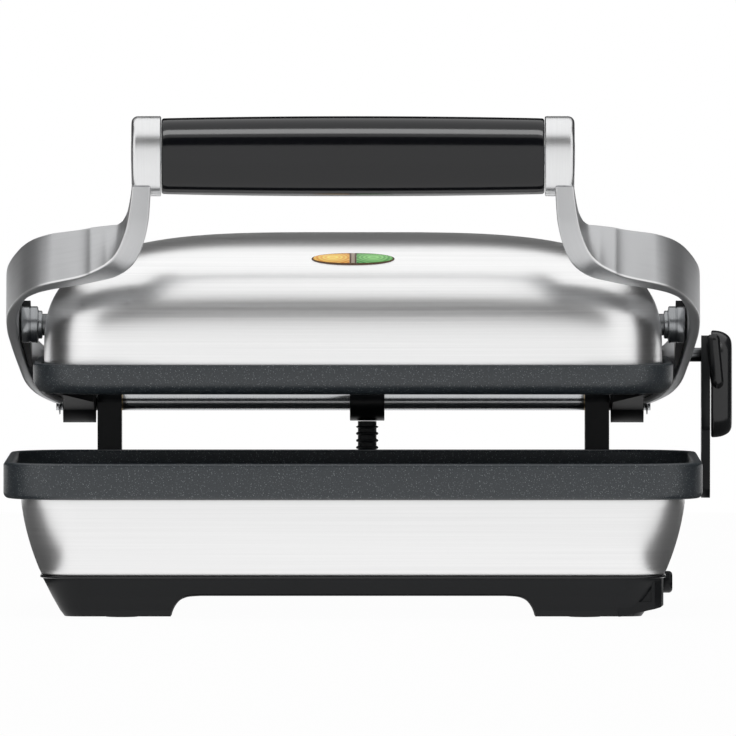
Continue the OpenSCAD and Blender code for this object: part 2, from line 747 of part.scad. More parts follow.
// Stud on the right arm that runs in the lock plate's slot
module lock_stud() {
  color("#8d9093") lock_place() {
    x_rod(stud_r, arm_inner_x - 4, lever_x + paddle_t - 2.5);
    x_rod(stud_r + 2.2, arm_inner_x + 1.3, arm_inner_x + 3.3);
  }
}
module lock_place() {
  translate([0, hinge_y - lock_reach * sin(stud_angle), hinge_z + lock_reach * cos(stud_angle)])
    children();
}

// Upper conduit: leaves the lid's socket rearwards and bends down onto the hub
module upper_conduit() {
  start = [socket_x, socket_y + seat_gap, socket_z];
  finish = [hub_x, hinge_y, hinge_z + hub_r + seat_gap];
  count = 4 * 12 - 1;
  color("#1f2123") ribbed_hose([for (i = [0 : count])
    bend_point(start, [0, 30, 0], finish, [0, 0, -24], i / count)]);
}

// Height of the dome over its seat at a reach from 0 (crown) to 1 (edge)
function dome_height(reach, h) = h * pow(1 - pow(reach, dome_shoulder), 1 / dome_fall);
function dome_reach(height, h) = pow(1 - pow(height / h, dome_fall), 1 / dome_shoulder);
function signed_pow(x, p) = sign(x) * pow(abs(x), p);

// Solid under a dome surface: rings of equal height steps from edge to crown
module dome_solid(a, b, h) {
  around = 48;
  rings = 11;
  edge = [for (k = [0 : around - 1]) let(t = 360 * k / around)
          [a * signed_pow(cos(t), 2 / dome_square), b * signed_pow(sin(t), 2 / dome_square)]];
  rise = h - dome_base;
  levels = [for (i = [1 : rings]) min(0.997, i / rings)];
  reaches = concat([1, 1], [for (f = levels) dome_reach(f, 1)]);
  heights = concat([0, dome_base], [for (f = levels) dome_base + rise * f]);
  last = len(reaches) - 1;
  points = concat([for (i = [0 : last], p = edge) [p[0] * reaches[i], p[1] * reaches[i], heights[i]]],
                  [[0, 0, h], [0, 0, 0]]);
  crown = around * (last + 1);
  side_faces = [for (i = [0 : last - 1], k = [0 : around - 1])
    let(m = (k + 1) % around, a = i * around, b = a + around) [a + k, b + k, b + m, a + m]];
  cap_faces = [for (k = [0 : around - 1])
    let(m = (k + 1) % around) [last * around + k, crown, last * around + m]];
  seat_faces = [for (k = [0 : around - 1]) [k, (k + 1) % around, crown + 1]];
  polyhedron(points = points, faces = concat(side_faces, cap_faces, seat_faces), convexity = 4);
}

// Frame of the indicator window on the dome's front slope
window_up = 61.8;
window_height = (window_up - dome_base) / (dome_h - dome_base) * dome_h;
window_reach = dome_reach(window_height, dome_h);
window_rise = dome_height(window_reach - 0.01, dome_h - dome_base)
              - dome_height(window_reach + 0.01, dome_h - dome_base);
window_slope = atan(window_rise / (0.02 * dome_b));
module window_place() {
  translate([0, lid_y - dome_b * window_reach, dome_z + window_up]) rotate([window_slope, 0, 0])
    children();
}

// Pointed oval with rounded flanks: two circles that meet at the ends
module window_shape(l, h) {
  r = (l * l / 4 + h * h / 4) / h;
  intersection() {
    translate([0, r - h / 2]) circle(r = r, $fn = 96);
    translate([0, h / 2 - r]) circle(r = r, $fn = 96);
  }
}

// Brushed steel dome of the lid, with pin holes and the window cut
module lid_dome() {
  color("#c9cacb") difference() {
    translate([0, lid_y, dome_z]) dome_solid(dome_a, dome_b, dome_h);
    translate([0, lid_y, dome_z - eps]) dome_solid(dome_a - dome_t, dome_b - dome_t, dome_h - dome_t);
    translate([0, pin_y, pin_z]) x_rod(pin_r + 1, -200, 200);
    window_place() translate([0, 0, -8]) linear_extrude(16)
      window_shape(window_l + 2 * seat_gap, window_h + 2 * seat_gap);
    translate([socket_x, socket_y - 10, socket_z]) rotate([-90, 0, 0]) cylinder(r = hose_d / 2 - 1, h = 30);
  }
}

// Cast upper plate: rounded rim wall, ledge for the dome, screw bosses, ribbed underside
module upper_plate() {
  z0 = plate_top - plate_h;
  top = plate_floor_z + plate_floor_t;
  pitch = (plate_w - 50) / (rib_n - 1);
  rounding = 9;
  border = 20;
  color("#3f4245") translate([0, lid_y, 0]) difference() {
    union() {
      sweep_rect(plate_w, plate_d, plate_r) polygon(concat(
        [for (a = [0 : 15 : 90]) [-rounding * (1 - sin(a)), z0 + rounding * (1 - cos(a))]],
        [[0, plate_top - 1], [-1, plate_top], [-3, plate_top], [-4, plate_top - 1],
         [-5, ledge_z - seat_gap], [-dome_inset - 3, ledge_z - seat_gap], [-dome_inset - 3, top],
         [-border, top], [-border, z0]]));
      translate([0, 0, plate_floor_z])
        slab(plate_w - 2 * border + 4, plate_d - 2 * border + 4, plate_r - border + 2, plate_floor_t);
      for (k = [0 : rib_n - 1]) translate([(k - (rib_n - 1) / 2) * pitch, 0, plate_floor_z + eps])
        rotate([90, 0, 0]) linear_extrude(plate_d - 2 * border - 4, center = true)
          polygon([[-2.6, 0], [-1.2, -2], [1.2, -2], [2.6, 0]]);
      for (s = [-1, 1]) translate([s * screw_x, 0, top - eps]) cylinder(r = 4, h = upper_refl_z - top);
    }
    for (s = [-1, 1]) translate([s * screw_x, 0, top - 1]) cylinder(r = screw_r, h = 20);
  }
}

upper_element_x = plate_w / 2 - 59.6;
upper_bend = 24;
module upper_element() {
  color("#5b5d60") translate([0, lid_y, 0])
    element(plate_floor_z + plate_floor_t + element_r + seat_gap, upper_element_x, upper_bend, 4);
}

// Sheet reflector over the upper element
upper_refl_z = plate_floor_z + plate_floor_t + 2 * element_r + 2 * seat_gap;
module upper_reflector() {
  color("#b4b7b9") translate([0, lid_y, upper_refl_z]) difference() {
    slab(plate_w - 2 * dome_inset - 12, plate_d - 2 * dome_inset - 12, 28, reflector_t);
    for (s = [-1, 1]) translate([s * screw_x, 0, -1]) cylinder(r = screw_r + screw_gap, h = 4);
    translate([60, 0, -1]) cylinder(r = 10, h = 4);
  }
}
screw_x = 136;

module upper_thermostat() {
  color("#cfc9bb") translate([60, lid_y, plate_floor_z + plate_floor_t + seat_gap]) {
    cylinder(r = 9, h = 6);
    cylinder(r = 5, h = 14);
    for (s = [-1, 1]) translate([s * 7.5 - 1.5, -0.5, 5.5]) cube([3, 1, 10.5]);
  }
}

// Steel cross member in the lid, with ears for the pivot bushes
module lid_bracket() {
  z = upper_refl_z + reflector_t;
  color("#8d9093") difference() {
    union() {
      translate([-bush_x1 + 3, pin_y - 14, z]) cube([2 * bush_x1 - 6, 28, 2]);
      both_sides() {
        translate([bush_x0 + 4, pin_y - 11, z]) cube([10, 22, pin_z - z]);
        translate([0, pin_y, pin_z]) x_rod(11, bush_x0 + 4, bush_x0 + 14);
      }
    }
    translate([0, pin_y, pin_z]) x_rod(pin_r + 2, -200, 200);
    for (s = [-1, 1]) translate([s * screw_x, lid_y, 0]) cylinder(r = screw_r + screw_gap, h = 300);
    translate([60, lid_y, 0]) cylinder(r = 12, h = 300);
  }
}

// Flanged bushes the pivot pins turn in
module pivot_bushes() {
  color("#a98a4e") both_sides() translate([0, pin_y, pin_z]) difference() {
    union() {
      x_rod(pin_r + 2, bush_x0, bush_x1);
      x_rod(pin_r + 4, bush_x0 + 14.2, bush_x0 + 16.2);
    }
    x_rod(pin_r + run_gap, bush_x0 - 1, bush_x1 + 1);
  }
}

// Bezel of the indicator window: raised rim and the bar between the two lenses
module window_bezel() {
  color("#6b4a2a") window_place() {
    difference() {
      translate([0, 0, -5]) linear_extrude(5.6) window_shape(window_l, window_h);
      translate([0, 0, -6]) linear_extrude(8) window_shape(window_l - 2.4, window_h - 2.4);
    }
    translate([0, 0, -2.5]) cube([3, window_h - 1.4, 5], center = true);
  }
}

module lens(side) {
  window_place() intersection() {
    translate([0, 0, -4.5]) linear_extrude(4.8) window_shape(window_l - 2.7, window_h - 2.7);
    translate([side > 0 ? 1.7 : -41.7, -20, -10]) cube([40, 40, 20]);
  }
}
module lens_amber() color("#e8912c") lens(-1);
module lens_green() color("#3f9c4c") lens(1);

// Board with two indicator lamps behind the window
module lamp_board() {
  color("#b79a5c") window_place() {
    translate([-22, -6, -12]) cube([44, 12, 1.6]);
    for (s = [-1, 1]) translate([s * 12, 0, -10.5]) {
      cylinder(r = 2.5, h = 3);
      translate([0, 0, 3]) sphere(r = 2.5);
    }
    for (s = [-1, 1]) translate([s * 19, 0, -12]) cylinder(r = 1.6, h = 6.9);
  }
}

// Socket on the dome's rear wall that the upper conduit enters
module conduit_socket() {
  color("#232527") translate([socket_x, socket_y - 3, socket_z]) rotate([-90, 0, 0]) difference() {
    union() {
      cylinder(r = hose_d / 2 + 3, h = 3);
      translate([0, 0, -10]) cylinder(r = hose_d / 2 - 1.3, h = 11);
    }
    translate([0, 0, -12]) cylinder(r = hose_bore / 2, h = 30);
  }
}

// Screws that hold the cross member over the reflector on the upper plate
module lid_screws() {
  seat = upper_refl_z + reflector_t + 2;
  color("#b9bcbe") for (s = [-1, 1]) translate([s * screw_x, lid_y, seat]) {
    translate([0, 0, -8]) cylinder(r = screw_r - 0.1, h = 9);
    cylinder(r = 3.8, h = 2);
  }
}

// Lock lever: rounded paddle that turns on the stud outside the lock plate
module lock_lever() {
  up = 17;
  low = paddle_h - up;
  color("#26282b") lock_place() translate([lever_x, 0, 0]) difference() {
    rotate([90, 0, 90]) linear_extrude(paddle_t) {
      translate([0, up - 14]) circle(r = 14);
      translate([-14, -low + 12]) square([28, paddle_h - 26]);
      translate([-2, -low]) square([4, 20]);
      for (s = [-1, 1]) translate([s * 2, -low + 12]) circle(r = 12);
    }
    x_rod(stud_r + run_gap, -1, paddle_t - 2);
    x_rod(6.5, paddle_t - 2.8, paddle_t + 1);
  }
}

// Screw in the lever's face, into the stud's end
module lever_screw() {
  color("#b9bcbe") lock_place() x_rod(5.5, lever_x + paddle_t - 2.4, lever_x + paddle_t - 0.5);
}

base_tub();
base_band();
base_pan();
rear_housing();
rubber_feet();
base_screws();
cord_gland();
terminal_block();
lower_plate();
lower_element();
lower_reflector();
lower_thermostat();
plate_screws();
hinge_bushes();
lock_strut();
lower_conduit();
hinge_shaft();
shaft_clips();
conduit_hub();
arm_left();
arm_right();
liner_left();
liner_right();
grip();
grip_rod();
grip_screws();
pivot_boss_left();
pivot_boss_right();
pivot_pin_left();
pivot_pin_right();
lock_stud();
upper_conduit();
lid_dome();
upper_plate();
upper_element();
upper_reflector();
upper_thermostat();
lid_bracket();
pivot_bushes();
window_bezel();
lens_amber();
lens_green();
lamp_board();
conduit_socket();
lid_screws();
lock_lever();
lever_screw();
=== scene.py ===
"""Looks of a floating-lid contact grill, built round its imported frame, in the frame's own axes.
The grill's pieces are written in millimetres, the stage round them in metres."""
import json
import math

import bpy
import bmesh
from mathutils import Matrix, Vector


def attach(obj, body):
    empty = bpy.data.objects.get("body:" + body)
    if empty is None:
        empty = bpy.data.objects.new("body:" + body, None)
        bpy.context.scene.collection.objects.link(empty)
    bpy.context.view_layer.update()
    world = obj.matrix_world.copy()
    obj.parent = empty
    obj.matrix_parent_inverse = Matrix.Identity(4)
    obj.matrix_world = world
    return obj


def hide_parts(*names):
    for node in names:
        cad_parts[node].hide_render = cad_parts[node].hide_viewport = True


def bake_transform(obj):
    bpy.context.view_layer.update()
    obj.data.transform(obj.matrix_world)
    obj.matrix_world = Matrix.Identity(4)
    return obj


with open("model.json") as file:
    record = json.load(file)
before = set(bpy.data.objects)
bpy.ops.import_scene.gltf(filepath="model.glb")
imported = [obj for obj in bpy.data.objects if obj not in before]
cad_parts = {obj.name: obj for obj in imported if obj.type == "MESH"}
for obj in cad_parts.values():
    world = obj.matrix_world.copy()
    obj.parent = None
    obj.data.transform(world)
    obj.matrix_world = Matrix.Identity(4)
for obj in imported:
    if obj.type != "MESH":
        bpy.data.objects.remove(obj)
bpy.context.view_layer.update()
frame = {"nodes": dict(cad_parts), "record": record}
MM = 0.001
NODES = frame["nodes"]


# Mesh helpers
def make(name, verts, faces, material, body, slot=None, stands_for=(), smooth=35, uvs=None, uv_round=0.0):
    """A mesh piece from millimetre points, smooth up to an angle in degrees, riding on a body.
    With uv_round, the V coordinate starts again after that length, and faces there run past it."""
    mesh = bpy.data.meshes.new(name)
    mesh.from_pydata([Vector(v) * MM for v in verts], [], faces)
    if uvs is not None:
        layer = mesh.uv_layers.new(name="UVMap")
        for face in mesh.polygons:
            ends = [uvs[i][1] for i in face.vertices]
            wraps = uv_round and max(ends) - min(ends) > uv_round / 2
            for loop, vertex in zip(face.loop_indices, face.vertices):
                u, v = uvs[vertex]
                layer.data[loop].uv = (u, v + uv_round if wraps and v < uv_round / 2 else v)
    bm = bmesh.new()
    bm.from_mesh(mesh)
    bmesh.ops.recalc_face_normals(bm, faces=bm.faces)
    bm.to_mesh(mesh)
    bm.free()
    mesh.shade_smooth()
    mesh.set_sharp_from_angle(angle=math.radians(smooth))
    obj = bpy.data.objects.new(name, mesh)
    bpy.context.scene.collection.objects.link(obj)
    mesh.materials.append(material)
    if body:
        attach(obj, body)
    if stands_for:
        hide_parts(*stands_for)
    return obj


def signed_power(value, power):
    """Power of a sine or cosine that keeps its sign, which squares up an ellipse."""
    return math.copysign(abs(value) ** power, value)


def fillet(points, steps=5):
    """Open outline from (x, y) or (x, y, radius): each corner with a radius becomes an arc."""
    out = []
    for i, p in enumerate(points):
        if len(p) < 3 or p[2] == 0 or i in (0, len(points) - 1):
            out.append((p[0], p[1]))
            continue
        here, back, on = Vector(p[:2]), Vector(points[i - 1][:2]), Vector(points[i + 1][:2])
        a, b = (back - here).normalized(), (on - here).normalized()
        half = a.angle(b) / 2
        reach = p[2] / math.tan(half)
        centre = here + (a + b).normalized() * (p[2] / math.sin(half))
        start, end = here + a * reach - centre, here + b * reach - centre
        sweep = start.angle(end)
        sign = 1 if start.cross(end) > 0 else -1
        base = math.atan2(start.y, start.x)
        for k in range(steps + 1):
            t = base + sign * sweep * k / steps
            out.append((centre.x + p[2] * math.cos(t), centre.y + p[2] * math.sin(t)))
    return out


def catmull(points, steps):
    """Smooth curve through rows of numbers, as the CAD source draws it."""
    out = []
    for i in range(len(points) - 1):
        a, b = points[max(i - 1, 0)], points[i]
        c, d = points[i + 1], points[min(i + 2, len(points) - 1)]
        for k in range(steps):
            t = k / steps
            out.append([0.5 * (2 * b[j] + (c[j] - a[j]) * t
                               + (2 * a[j] - 5 * b[j] + 4 * c[j] - d[j]) * t * t
                               + (3 * b[j] - a[j] - 3 * c[j] + d[j]) * t ** 3) for j in range(len(b))])
    out.append(list(points[-1]))
    return out


def outline(w, d, r, corner=14, along=10):
    """Rounded rectangle as corner centres and edge points, each with its outward normal."""
    points = []
    cx, cy = w / 2 - r, d / 2 - r
    quads = [((cx, cy), 0), ((-cx, cy), 90), ((-cx, -cy), 180), ((cx, -cy), 270)]
    for q, ((x, y), first) in enumerate(quads):
        for k in range(corner + 1):
            a = math.radians(first + 90 * k / corner)
            points.append((x, y, math.cos(a), math.sin(a)))
        next_x, next_y = quads[(q + 1) % 4][0]
        a = math.radians(first + 90)
        for k in range(1, along):
            t = k / along
            points.append((x + (next_x - x) * t, y + (next_y - y) * t, math.cos(a), math.sin(a)))
    return points


def grid_faces(n, m, wrap_n=True, wrap_m=False):
    """Quads between n rows of m points."""
    faces = []
    for i in range(n if wrap_n else n - 1):
        for j in range(m if wrap_m else m - 1):
            a, b = i * m + j, i * m + (j + 1) % m
            c, d = ((i + 1) % n) * m + (j + 1) % m, ((i + 1) % n) * m + j
            faces.append([a, b, c, d])
    return faces


def loft_faces(n, m):
    """Faces of a closed solid lofted through n rings of m points, with its two flat ends."""
    faces = grid_faces(n, m, wrap_n=False, wrap_m=True)
    return faces + [list(range(m)), [(n - 1) * m + k for k in reversed(range(m))]]


def sweep_piece(name, w, d, r, profile, material, body, centre=(0, 0), closed=False, **kw):
    """A profile (offset outward, height) run round a rounded rectangle. It is a closed ring, or an
    open one with flat caps over its two ends."""
    ring = outline(w, d, r)
    verts = [(centre[0] + x + nx * (r + off), centre[1] + y + ny * (r + off), z)
             for x, y, nx, ny in ring for off, z in profile]
    n, m = len(ring), len(profile)
    faces = grid_faces(n, m, wrap_m=closed)
    if not closed:
        faces.append([i * m for i in range(n)])
        faces.append([i * m + m - 1 for i in reversed(range(n))])
    return make(name, verts, faces, material, body, **kw)


def tube(name, route, radii, sides, material, body, **kw):
    """Round tube through the points of a route, one radius for each."""
    verts = []
    for i, p in enumerate(route):
        here = Vector(p)
        along = (Vector(route[min(i + 1, len(route) - 1)]) - Vector(route[max(i - 1, 0)])).normalized()
        side = Vector((1, 0, 0)) if abs(along.x) < 0.9 else Vector((0, 1, 0))
        side = (side - along * along.dot(side)).normalized()
        other = along.cross(side)
        for k in range(sides):
            t = 2 * math.pi * k / sides
            verts.append(tuple(here + (side * math.cos(t) + other * math.sin(t)) * radii[i]))
    return make(name, verts, loft_faces(len(route), sides), material, body, **kw)


def turned(rows, y, z, count=64):
    """Solid of revolution about a line along X, from (x, radius) rows."""
    verts = [(x, y + r * math.cos(2 * math.pi * k / count), z + r * math.sin(2 * math.pi * k / count))
             for x, r in rows for k in range(count)]
    return verts, loft_faces(len(rows), count)


def mirrored(verts, faces):
    """The same shape on the other side of X = 0."""
    return [(-x, y, z) for x, y, z in verts], [list(reversed(f)) for f in faces]


def on_side(side, verts, faces):
    """A shape of the right side as it is for side 1, mirrored to the left for side -1."""
    return (verts, faces) if side > 0 else mirrored(verts, faces)


# Materials
class Nodes:
    """Short way to write a node tree: that of a new material, or of the world it is given."""

    def __init__(self, name, world=None):
        self.owner = world or bpy.data.materials.new(name)
        self.owner.use_nodes = True
        self.tree = self.owner.node_tree
        self.shader = self.tree.nodes["Background" if world else "Principled BSDF"]

    def add(self, kind, inputs=None, **props):
        node = self.tree.nodes.new(kind)
        for k, v in props.items():
            setattr(node, k, v)
        for k, v in (inputs or {}).items():
            if isinstance(v, bpy.types.NodeSocket):
                self.tree.links.new(v, node.inputs[k])
            else:
                node.inputs[k].default_value = v
        return node

    def put(self, **values):
        for k, v in values.items():
            name = k.replace("_", " ")
            socket = self.shader.inputs[name]
            if isinstance(v, bpy.types.NodeSocket):
                self.tree.links.new(v, socket)
            else:
                socket.default_value = v

    def coords(self, scale, kind="Object"):
        tc = self.add("ShaderNodeTexCoord")
        return self.add("ShaderNodeMapping", {"Vector": tc.outputs[kind], "Scale": scale}).outputs["Vector"]

    def noise(self, vector, scale, detail=2.0, rough=0.5):
        return self.add("ShaderNodeTexNoise", {"Vector": vector, "Scale": scale, "Detail": detail,
                                               "Roughness": rough}).outputs["Fac"]

    def ramp(self, fac, stops):
        node = self.add("ShaderNodeValToRGB", {"Fac": fac})
        el = node.color_ramp.elements
        while len(el) < len(stops):
            el.new(0.5)
        for e, (pos, col) in zip(el, stops):
            e.position = pos
            e.color = (col, col, col, 1) if isinstance(col, (int, float)) else (*col, 1)
        return node.outputs["Color"]

    def span(self, fac, low, high):
        node = self.add("ShaderNodeMapRange", {"Value": fac, "To Min": low, "To Max": high})
        return node.outputs["Result"]

    def compute(self, operation, a, b):
        return self.add("ShaderNodeMath", {0: a, 1: b}, operation=operation).outputs[0]

    def mix(self, share, colour, other):
        """Mix of two colours. The node's colour inputs are its sockets 6 and 7, its colour output 2."""
        return self.add("ShaderNodeMix", {"Factor": share, 6: colour, 7: other},
                        data_type="RGBA").outputs[2]

    def bump(self, height, strength, distance):
        return self.add("ShaderNodeBump", {"Height": height, "Strength": strength,
                                           "Distance": distance}).outputs["Normal"]


def darker(colour, share):
    return tuple(c * (1 - share) for c in colour)


def lighter(colour, share):
    return tuple(min(1, c * (1 + share)) for c in colour)


def brushed(name, colour, rough, scale, streak=0.05, bump=0.06, run=0.0):
    """Metal with fine brush lines: the mapping squeezes the noise along the brush direction.
    With run, the lines are stacked along the mesh's own V coordinate instead."""
    n = Nodes(name)
    v = n.coords(scale)
    if run:
        around = n.add("ShaderNodeSeparateXYZ", {"Vector": v})
        up = n.add("ShaderNodeSeparateXYZ", {"Vector": n.coords((1, run, 1), "UV")})
        v = n.add("ShaderNodeCombineXYZ", {"X": around.outputs["X"], "Y": around.outputs["Y"],
                                           "Z": up.outputs["Y"]}).outputs["Vector"]
    fine = n.noise(v, 1.0, 3.0, 0.6)
    tone = n.ramp(fine, [(0.3, darker(colour, streak)), (0.7, lighter(colour, streak))])
    n.put(Base_Color=tone, Metallic=1.0, Roughness=n.span(fine, rough - 0.04, rough + 0.05),
          Normal=n.bump(fine, bump, 0.0002))
    return n.owner


def arm_metal(name, flat, edge, rough, turn):
    """Satin strip brushed along its length, with its front edges rounded over and smoother, and a painted
    highlight in a light colour along those edges.
    The mesh's V coordinate runs round the strip's section, once in each length of turn."""
    n = Nodes(name)
    fine = n.noise(n.coords((20, 2200, 1), "UV"), 1.0, 3.0, 0.6)
    cloud = n.noise(n.coords((14, 14, 14)), 1.0, 2.0)
    around = n.add("ShaderNodeSeparateXYZ", {"Vector": n.coords((1, 1 / turn, 1), "UV")}).outputs["Y"]
    # Painted highlight: bands round the section, strongest on the rounded front edge, mix the light edge
    # colour into the base colour; the roughness drops there as well
    edge_highlight = n.ramp(around, [(0.24, 0.0), (0.35, 0.30), (0.44, 0.10), (0.56, 0.35), (0.60, 1.0), (0.64, 1.0),
                           (0.69, 0.12), (0.80, 0.0)])
    dull = n.ramp(n.compute("ADD", fine, cloud), [(0.6, darker(flat, 0.05)), (1.3, lighter(flat, 0.05))])
    n.put(Base_Color=n.mix(edge_highlight, dull, (*edge, 1)), Metallic=0.8,
          Roughness=n.span(edge_highlight, rough, rough - 0.14), Normal=n.bump(fine, 0.04, 0.0002))
    return n.owner


def speckled(name):
    """Dark cast plate with a non-stick coat: fine grain and small pale flecks."""
    n = Nodes(name)
    v = n.coords((1, 1, 1))
    grain = n.noise(v, 2200, 3.0, 0.7)
    flecks = n.add("ShaderNodeTexVoronoi", {"Vector": v, "Scale": 1150.0}, feature="F1")
    dot = n.ramp(flecks.outputs["Distance"], [(0.12, 1.0), (0.34, 0.0)])
    keep = n.ramp(n.noise(v, 900.0, 1.0), [(0.44, 0.0), (0.60, 1.0)])
    body = n.ramp(grain, [(0.32, (0.012, 0.017, 0.022)), (0.70, (0.033, 0.042, 0.050))])
    tone = n.mix(n.compute("MULTIPLY", dot, keep), body, (0.30, 0.33, 0.34, 1))
    n.put(Base_Color=tone, Metallic=0.0, Roughness=n.span(grain, 0.29, 0.42),
          Normal=n.bump(grain, 0.4, 0.0002), Specular_IOR_Level=0.72)
    return n.owner


def plastic(name, colour, rough, grain_scale=1400, bump=0.08, coat=0.0, shine=0.32):
    """Moulded plastic or rubber with a fine grain."""
    n = Nodes(name)
    grain = n.noise(n.coords((1, 1, 1)), grain_scale, 2.0)
    cloud = n.noise(n.coords((9, 9, 9)), 1.0, 2.0)
    tone = n.ramp(cloud, [(0.3, darker(colour, 0.12)), (0.7, lighter(colour, 0.12))])
    n.put(Base_Color=tone, Roughness=n.span(grain, rough - 0.04, rough + 0.05),
          Normal=n.bump(grain, bump, 0.0002), Specular_IOR_Level=shine, Coat_Weight=coat,
          Coat_Roughness=0.04)
    return n.owner


def lens_material(name, deep, bright, centre, rings):
    """Indicator lens with fine moulded rings round its middle, softly lit from behind."""
    n = Nodes(name)
    tc = n.add("ShaderNodeTexCoord")
    local = n.add("ShaderNodeVectorMath", {0: tc.outputs["Object"], 1: [c * MM for c in centre]},
                  operation="SUBTRACT").outputs["Vector"]
    squeezed = n.add("ShaderNodeMapping", {"Vector": local, "Scale": (0.42, 1, 1)}).outputs["Vector"]
    wave = n.add("ShaderNodeTexWave", {"Vector": squeezed, "Scale": rings, "Distortion": 0.6,
                                       "Detail": 1.0}, wave_type="RINGS",
                 rings_direction="SPHERICAL").outputs["Fac"]
    reach = n.add("ShaderNodeVectorMath", {0: squeezed}, operation="LENGTH").outputs["Value"]
    inside = n.add("ShaderNodeMapRange", {"Value": reach, "From Max": 0.0062, "To Min": 0.9,
                                          "To Max": 0.1}).outputs["Result"]
    between = tuple((a + b) / 2 for a, b in zip(deep, bright))
    lit = n.compute("ADD", inside, n.span(wave, -0.16, 0.16))
    tone = n.ramp(lit, [(0.0, deep), (0.45, between), (0.95, bright)])
    n.put(Base_Color=tone, Roughness=n.span(wave, 0.10, 0.20), Emission_Color=tone,
          Normal=n.bump(wave, 0.25, 0.0003), Emission_Strength=0.45)
    return n.owner


DOME_STEEL = brushed("steel_dome", (0.96, 0.96, 0.96), 0.30, (5, 5, 0), 0.05, 0.11, run=1100)
BAND_STEEL = brushed("steel_band", (0.92, 0.92, 0.92), 0.34, (5, 5, 1500), 0.03, 0.04)
SECTION_V = 0.07  # V length once round the section of an arm
# The third colour is the painted highlight along the arms' front edges
ALU = arm_metal("aluminium_satin", (0.55, 0.555, 0.565), (0.95, 0.95, 0.95), 0.42, SECTION_V)
COLLAR = brushed("aluminium_turned", (0.84, 0.845, 0.85), 0.30, (1600, 30, 30), 0.03, 0.04)
PLAIN_STEEL = brushed("steel_plain", (0.42, 0.43, 0.44), 0.32, (120, 120, 1500), 0.05, 0.08)
SHAFT = brushed("steel_turned", (0.50, 0.51, 0.52), 0.24, (1800, 60, 60))
DARK_METAL = brushed("metal_dark", (0.16, 0.165, 0.17), 0.30, (1500, 80, 80), 0.08)
BOSS_METAL = brushed("metal_boss", (0.34, 0.35, 0.36), 0.24, (1500, 80, 80), 0.08)
CAST = speckled("cast_speckled")
SATIN = plastic("plastic_black_gloss", (0.008, 0.0085, 0.0095), 0.22, 900, 0.03, shine=0.5)
BLACK = plastic("plastic_black", (0.0062, 0.0070, 0.0082), 0.34, shine=0.24)
LINER = plastic("plastic_liner", (0.0080, 0.0085, 0.0095), 0.48, shine=0.2)
GLOSS = plastic("grip_black", (0.0030, 0.0032, 0.0042), 0.12, 300, 0.0, shine=0.5)
RUBBER = plastic("rubber_black", (0.012, 0.012, 0.012), 0.7, 900, 0.2)
HOSE = plastic("conduit_black", (0.014, 0.015, 0.016), 0.45)
CERAMIC = plastic("ceramic_cream", (0.60, 0.56, 0.47), 0.4)
ELEMENT = plastic("element_oxide", (0.11, 0.10, 0.095), 0.55)
REFLECTOR = brushed("reflector_sheet", (0.70, 0.71, 0.72), 0.25, (300, 300, 300), 0.04, 0.05)
BRONZE = brushed("bronze_bush", (0.50, 0.36, 0.16), 0.34, (900, 200, 200), 0.08, 0.08)
BROWN = plastic("bezel_brown", (0.13, 0.065, 0.030), 0.22, 1000, 0.03, coat=0.5)
PALE = plastic("bezel_cream", (0.62, 0.52, 0.40), 0.3, 1000, 0.03, coat=0.3)
BOARD = plastic("lamp_board", (0.30, 0.22, 0.09), 0.5)
LENS_X, LENS_Y, LENS_Z, LENS_RINGS = 11.5, -73.8, 202.6, 330.0
AMBER = lens_material("lens_amber_glow", (0.55, 0.13, 0.006), (1.0, 0.78, 0.22), (-LENS_X, LENS_Y, LENS_Z),
                      LENS_RINGS)
GREEN = lens_material("lens_green_glow", (0.02, 0.17, 0.035), (0.32, 0.68, 0.24), (LENS_X, LENS_Y, LENS_Z),
                      LENS_RINGS)

# The CAD's own pieces: a material by slot, save for a few nodes, and softened edges
BY_SLOT = {
    "tub_plastic": BLACK, "band_steel": BAND_STEEL, "pan_steel": PLAIN_STEEL, "rubber": RUBBER,
    "screw_steel": PLAIN_STEEL, "ceramic": CERAMIC, "cast_plate": CAST, "element": ELEMENT,
    "reflector": REFLECTOR, "bush": BRONZE, "lock_black": BLACK, "conduit": HOSE, "shaft": SHAFT,
    "arm_metal": ALU, "liner_plastic": LINER, "grip_black": GLOSS, "boss_metal": DARK_METAL,
    "dome_steel": DOME_STEEL, "bezel": BROWN, "lens_amber": AMBER, "lens_green": GREEN, "board": BOARD,
}
BY_NODE = {
    "pivot_pin_left": DARK_METAL, "pivot_pin_right": DARK_METAL, "lock_stud": DARK_METAL,
    "conduit_hub": BLACK, "conduit_socket": BLACK,
}
WELD_REACH, EDGE_ROUND, EDGE_ANGLE = 0.01, 0.4, 35
for row in frame["record"]["subparts"]:
    node = NODES[row["node"]]
    node.data.materials.clear()
    node.data.materials.append(BY_NODE.get(row["node"], BY_SLOT[row["material_slot"]]))
    weld = node.modifiers.new("weld", "WELD")
    weld.merge_threshold = WELD_REACH * MM
    bevel = node.modifiers.new("bevel", "BEVEL")
    bevel.width = EDGE_ROUND * MM
    bevel.segments = 2
    bevel.limit_method = "ANGLE"
    bevel.angle_limit = math.radians(EDGE_ANGLE)

# Tray
TRAY_W, TRAY_D, TRAY_R, TRAY_TOP, TRAY_H = 395.5, 262.0, 40.0, 88.0, 20.5
TRAY_FLOOR, FLOOR_THICK, RIM = 74.5, 4.5, 5.0
tray_low = TRAY_TOP - TRAY_H
tray_profile = fillet([
    (-17, TRAY_FLOOR - FLOOR_THICK), (-16, tray_low + 1), (-12, tray_low, 1), (0, tray_low, 3.2),
    (0.0, TRAY_TOP, 1.9), (-RIM, TRAY_TOP, 1.7), (-RIM - 1.5, TRAY_FLOOR + 4), (-RIM - 4, TRAY_FLOOR, 3.0),
    (-20, TRAY_FLOOR)], 6)
sweep_piece("tray", TRAY_W, TRAY_D, TRAY_R, tray_profile, CAST, "base", slot="cast_plate",
            stands_for=["lower_plate"])

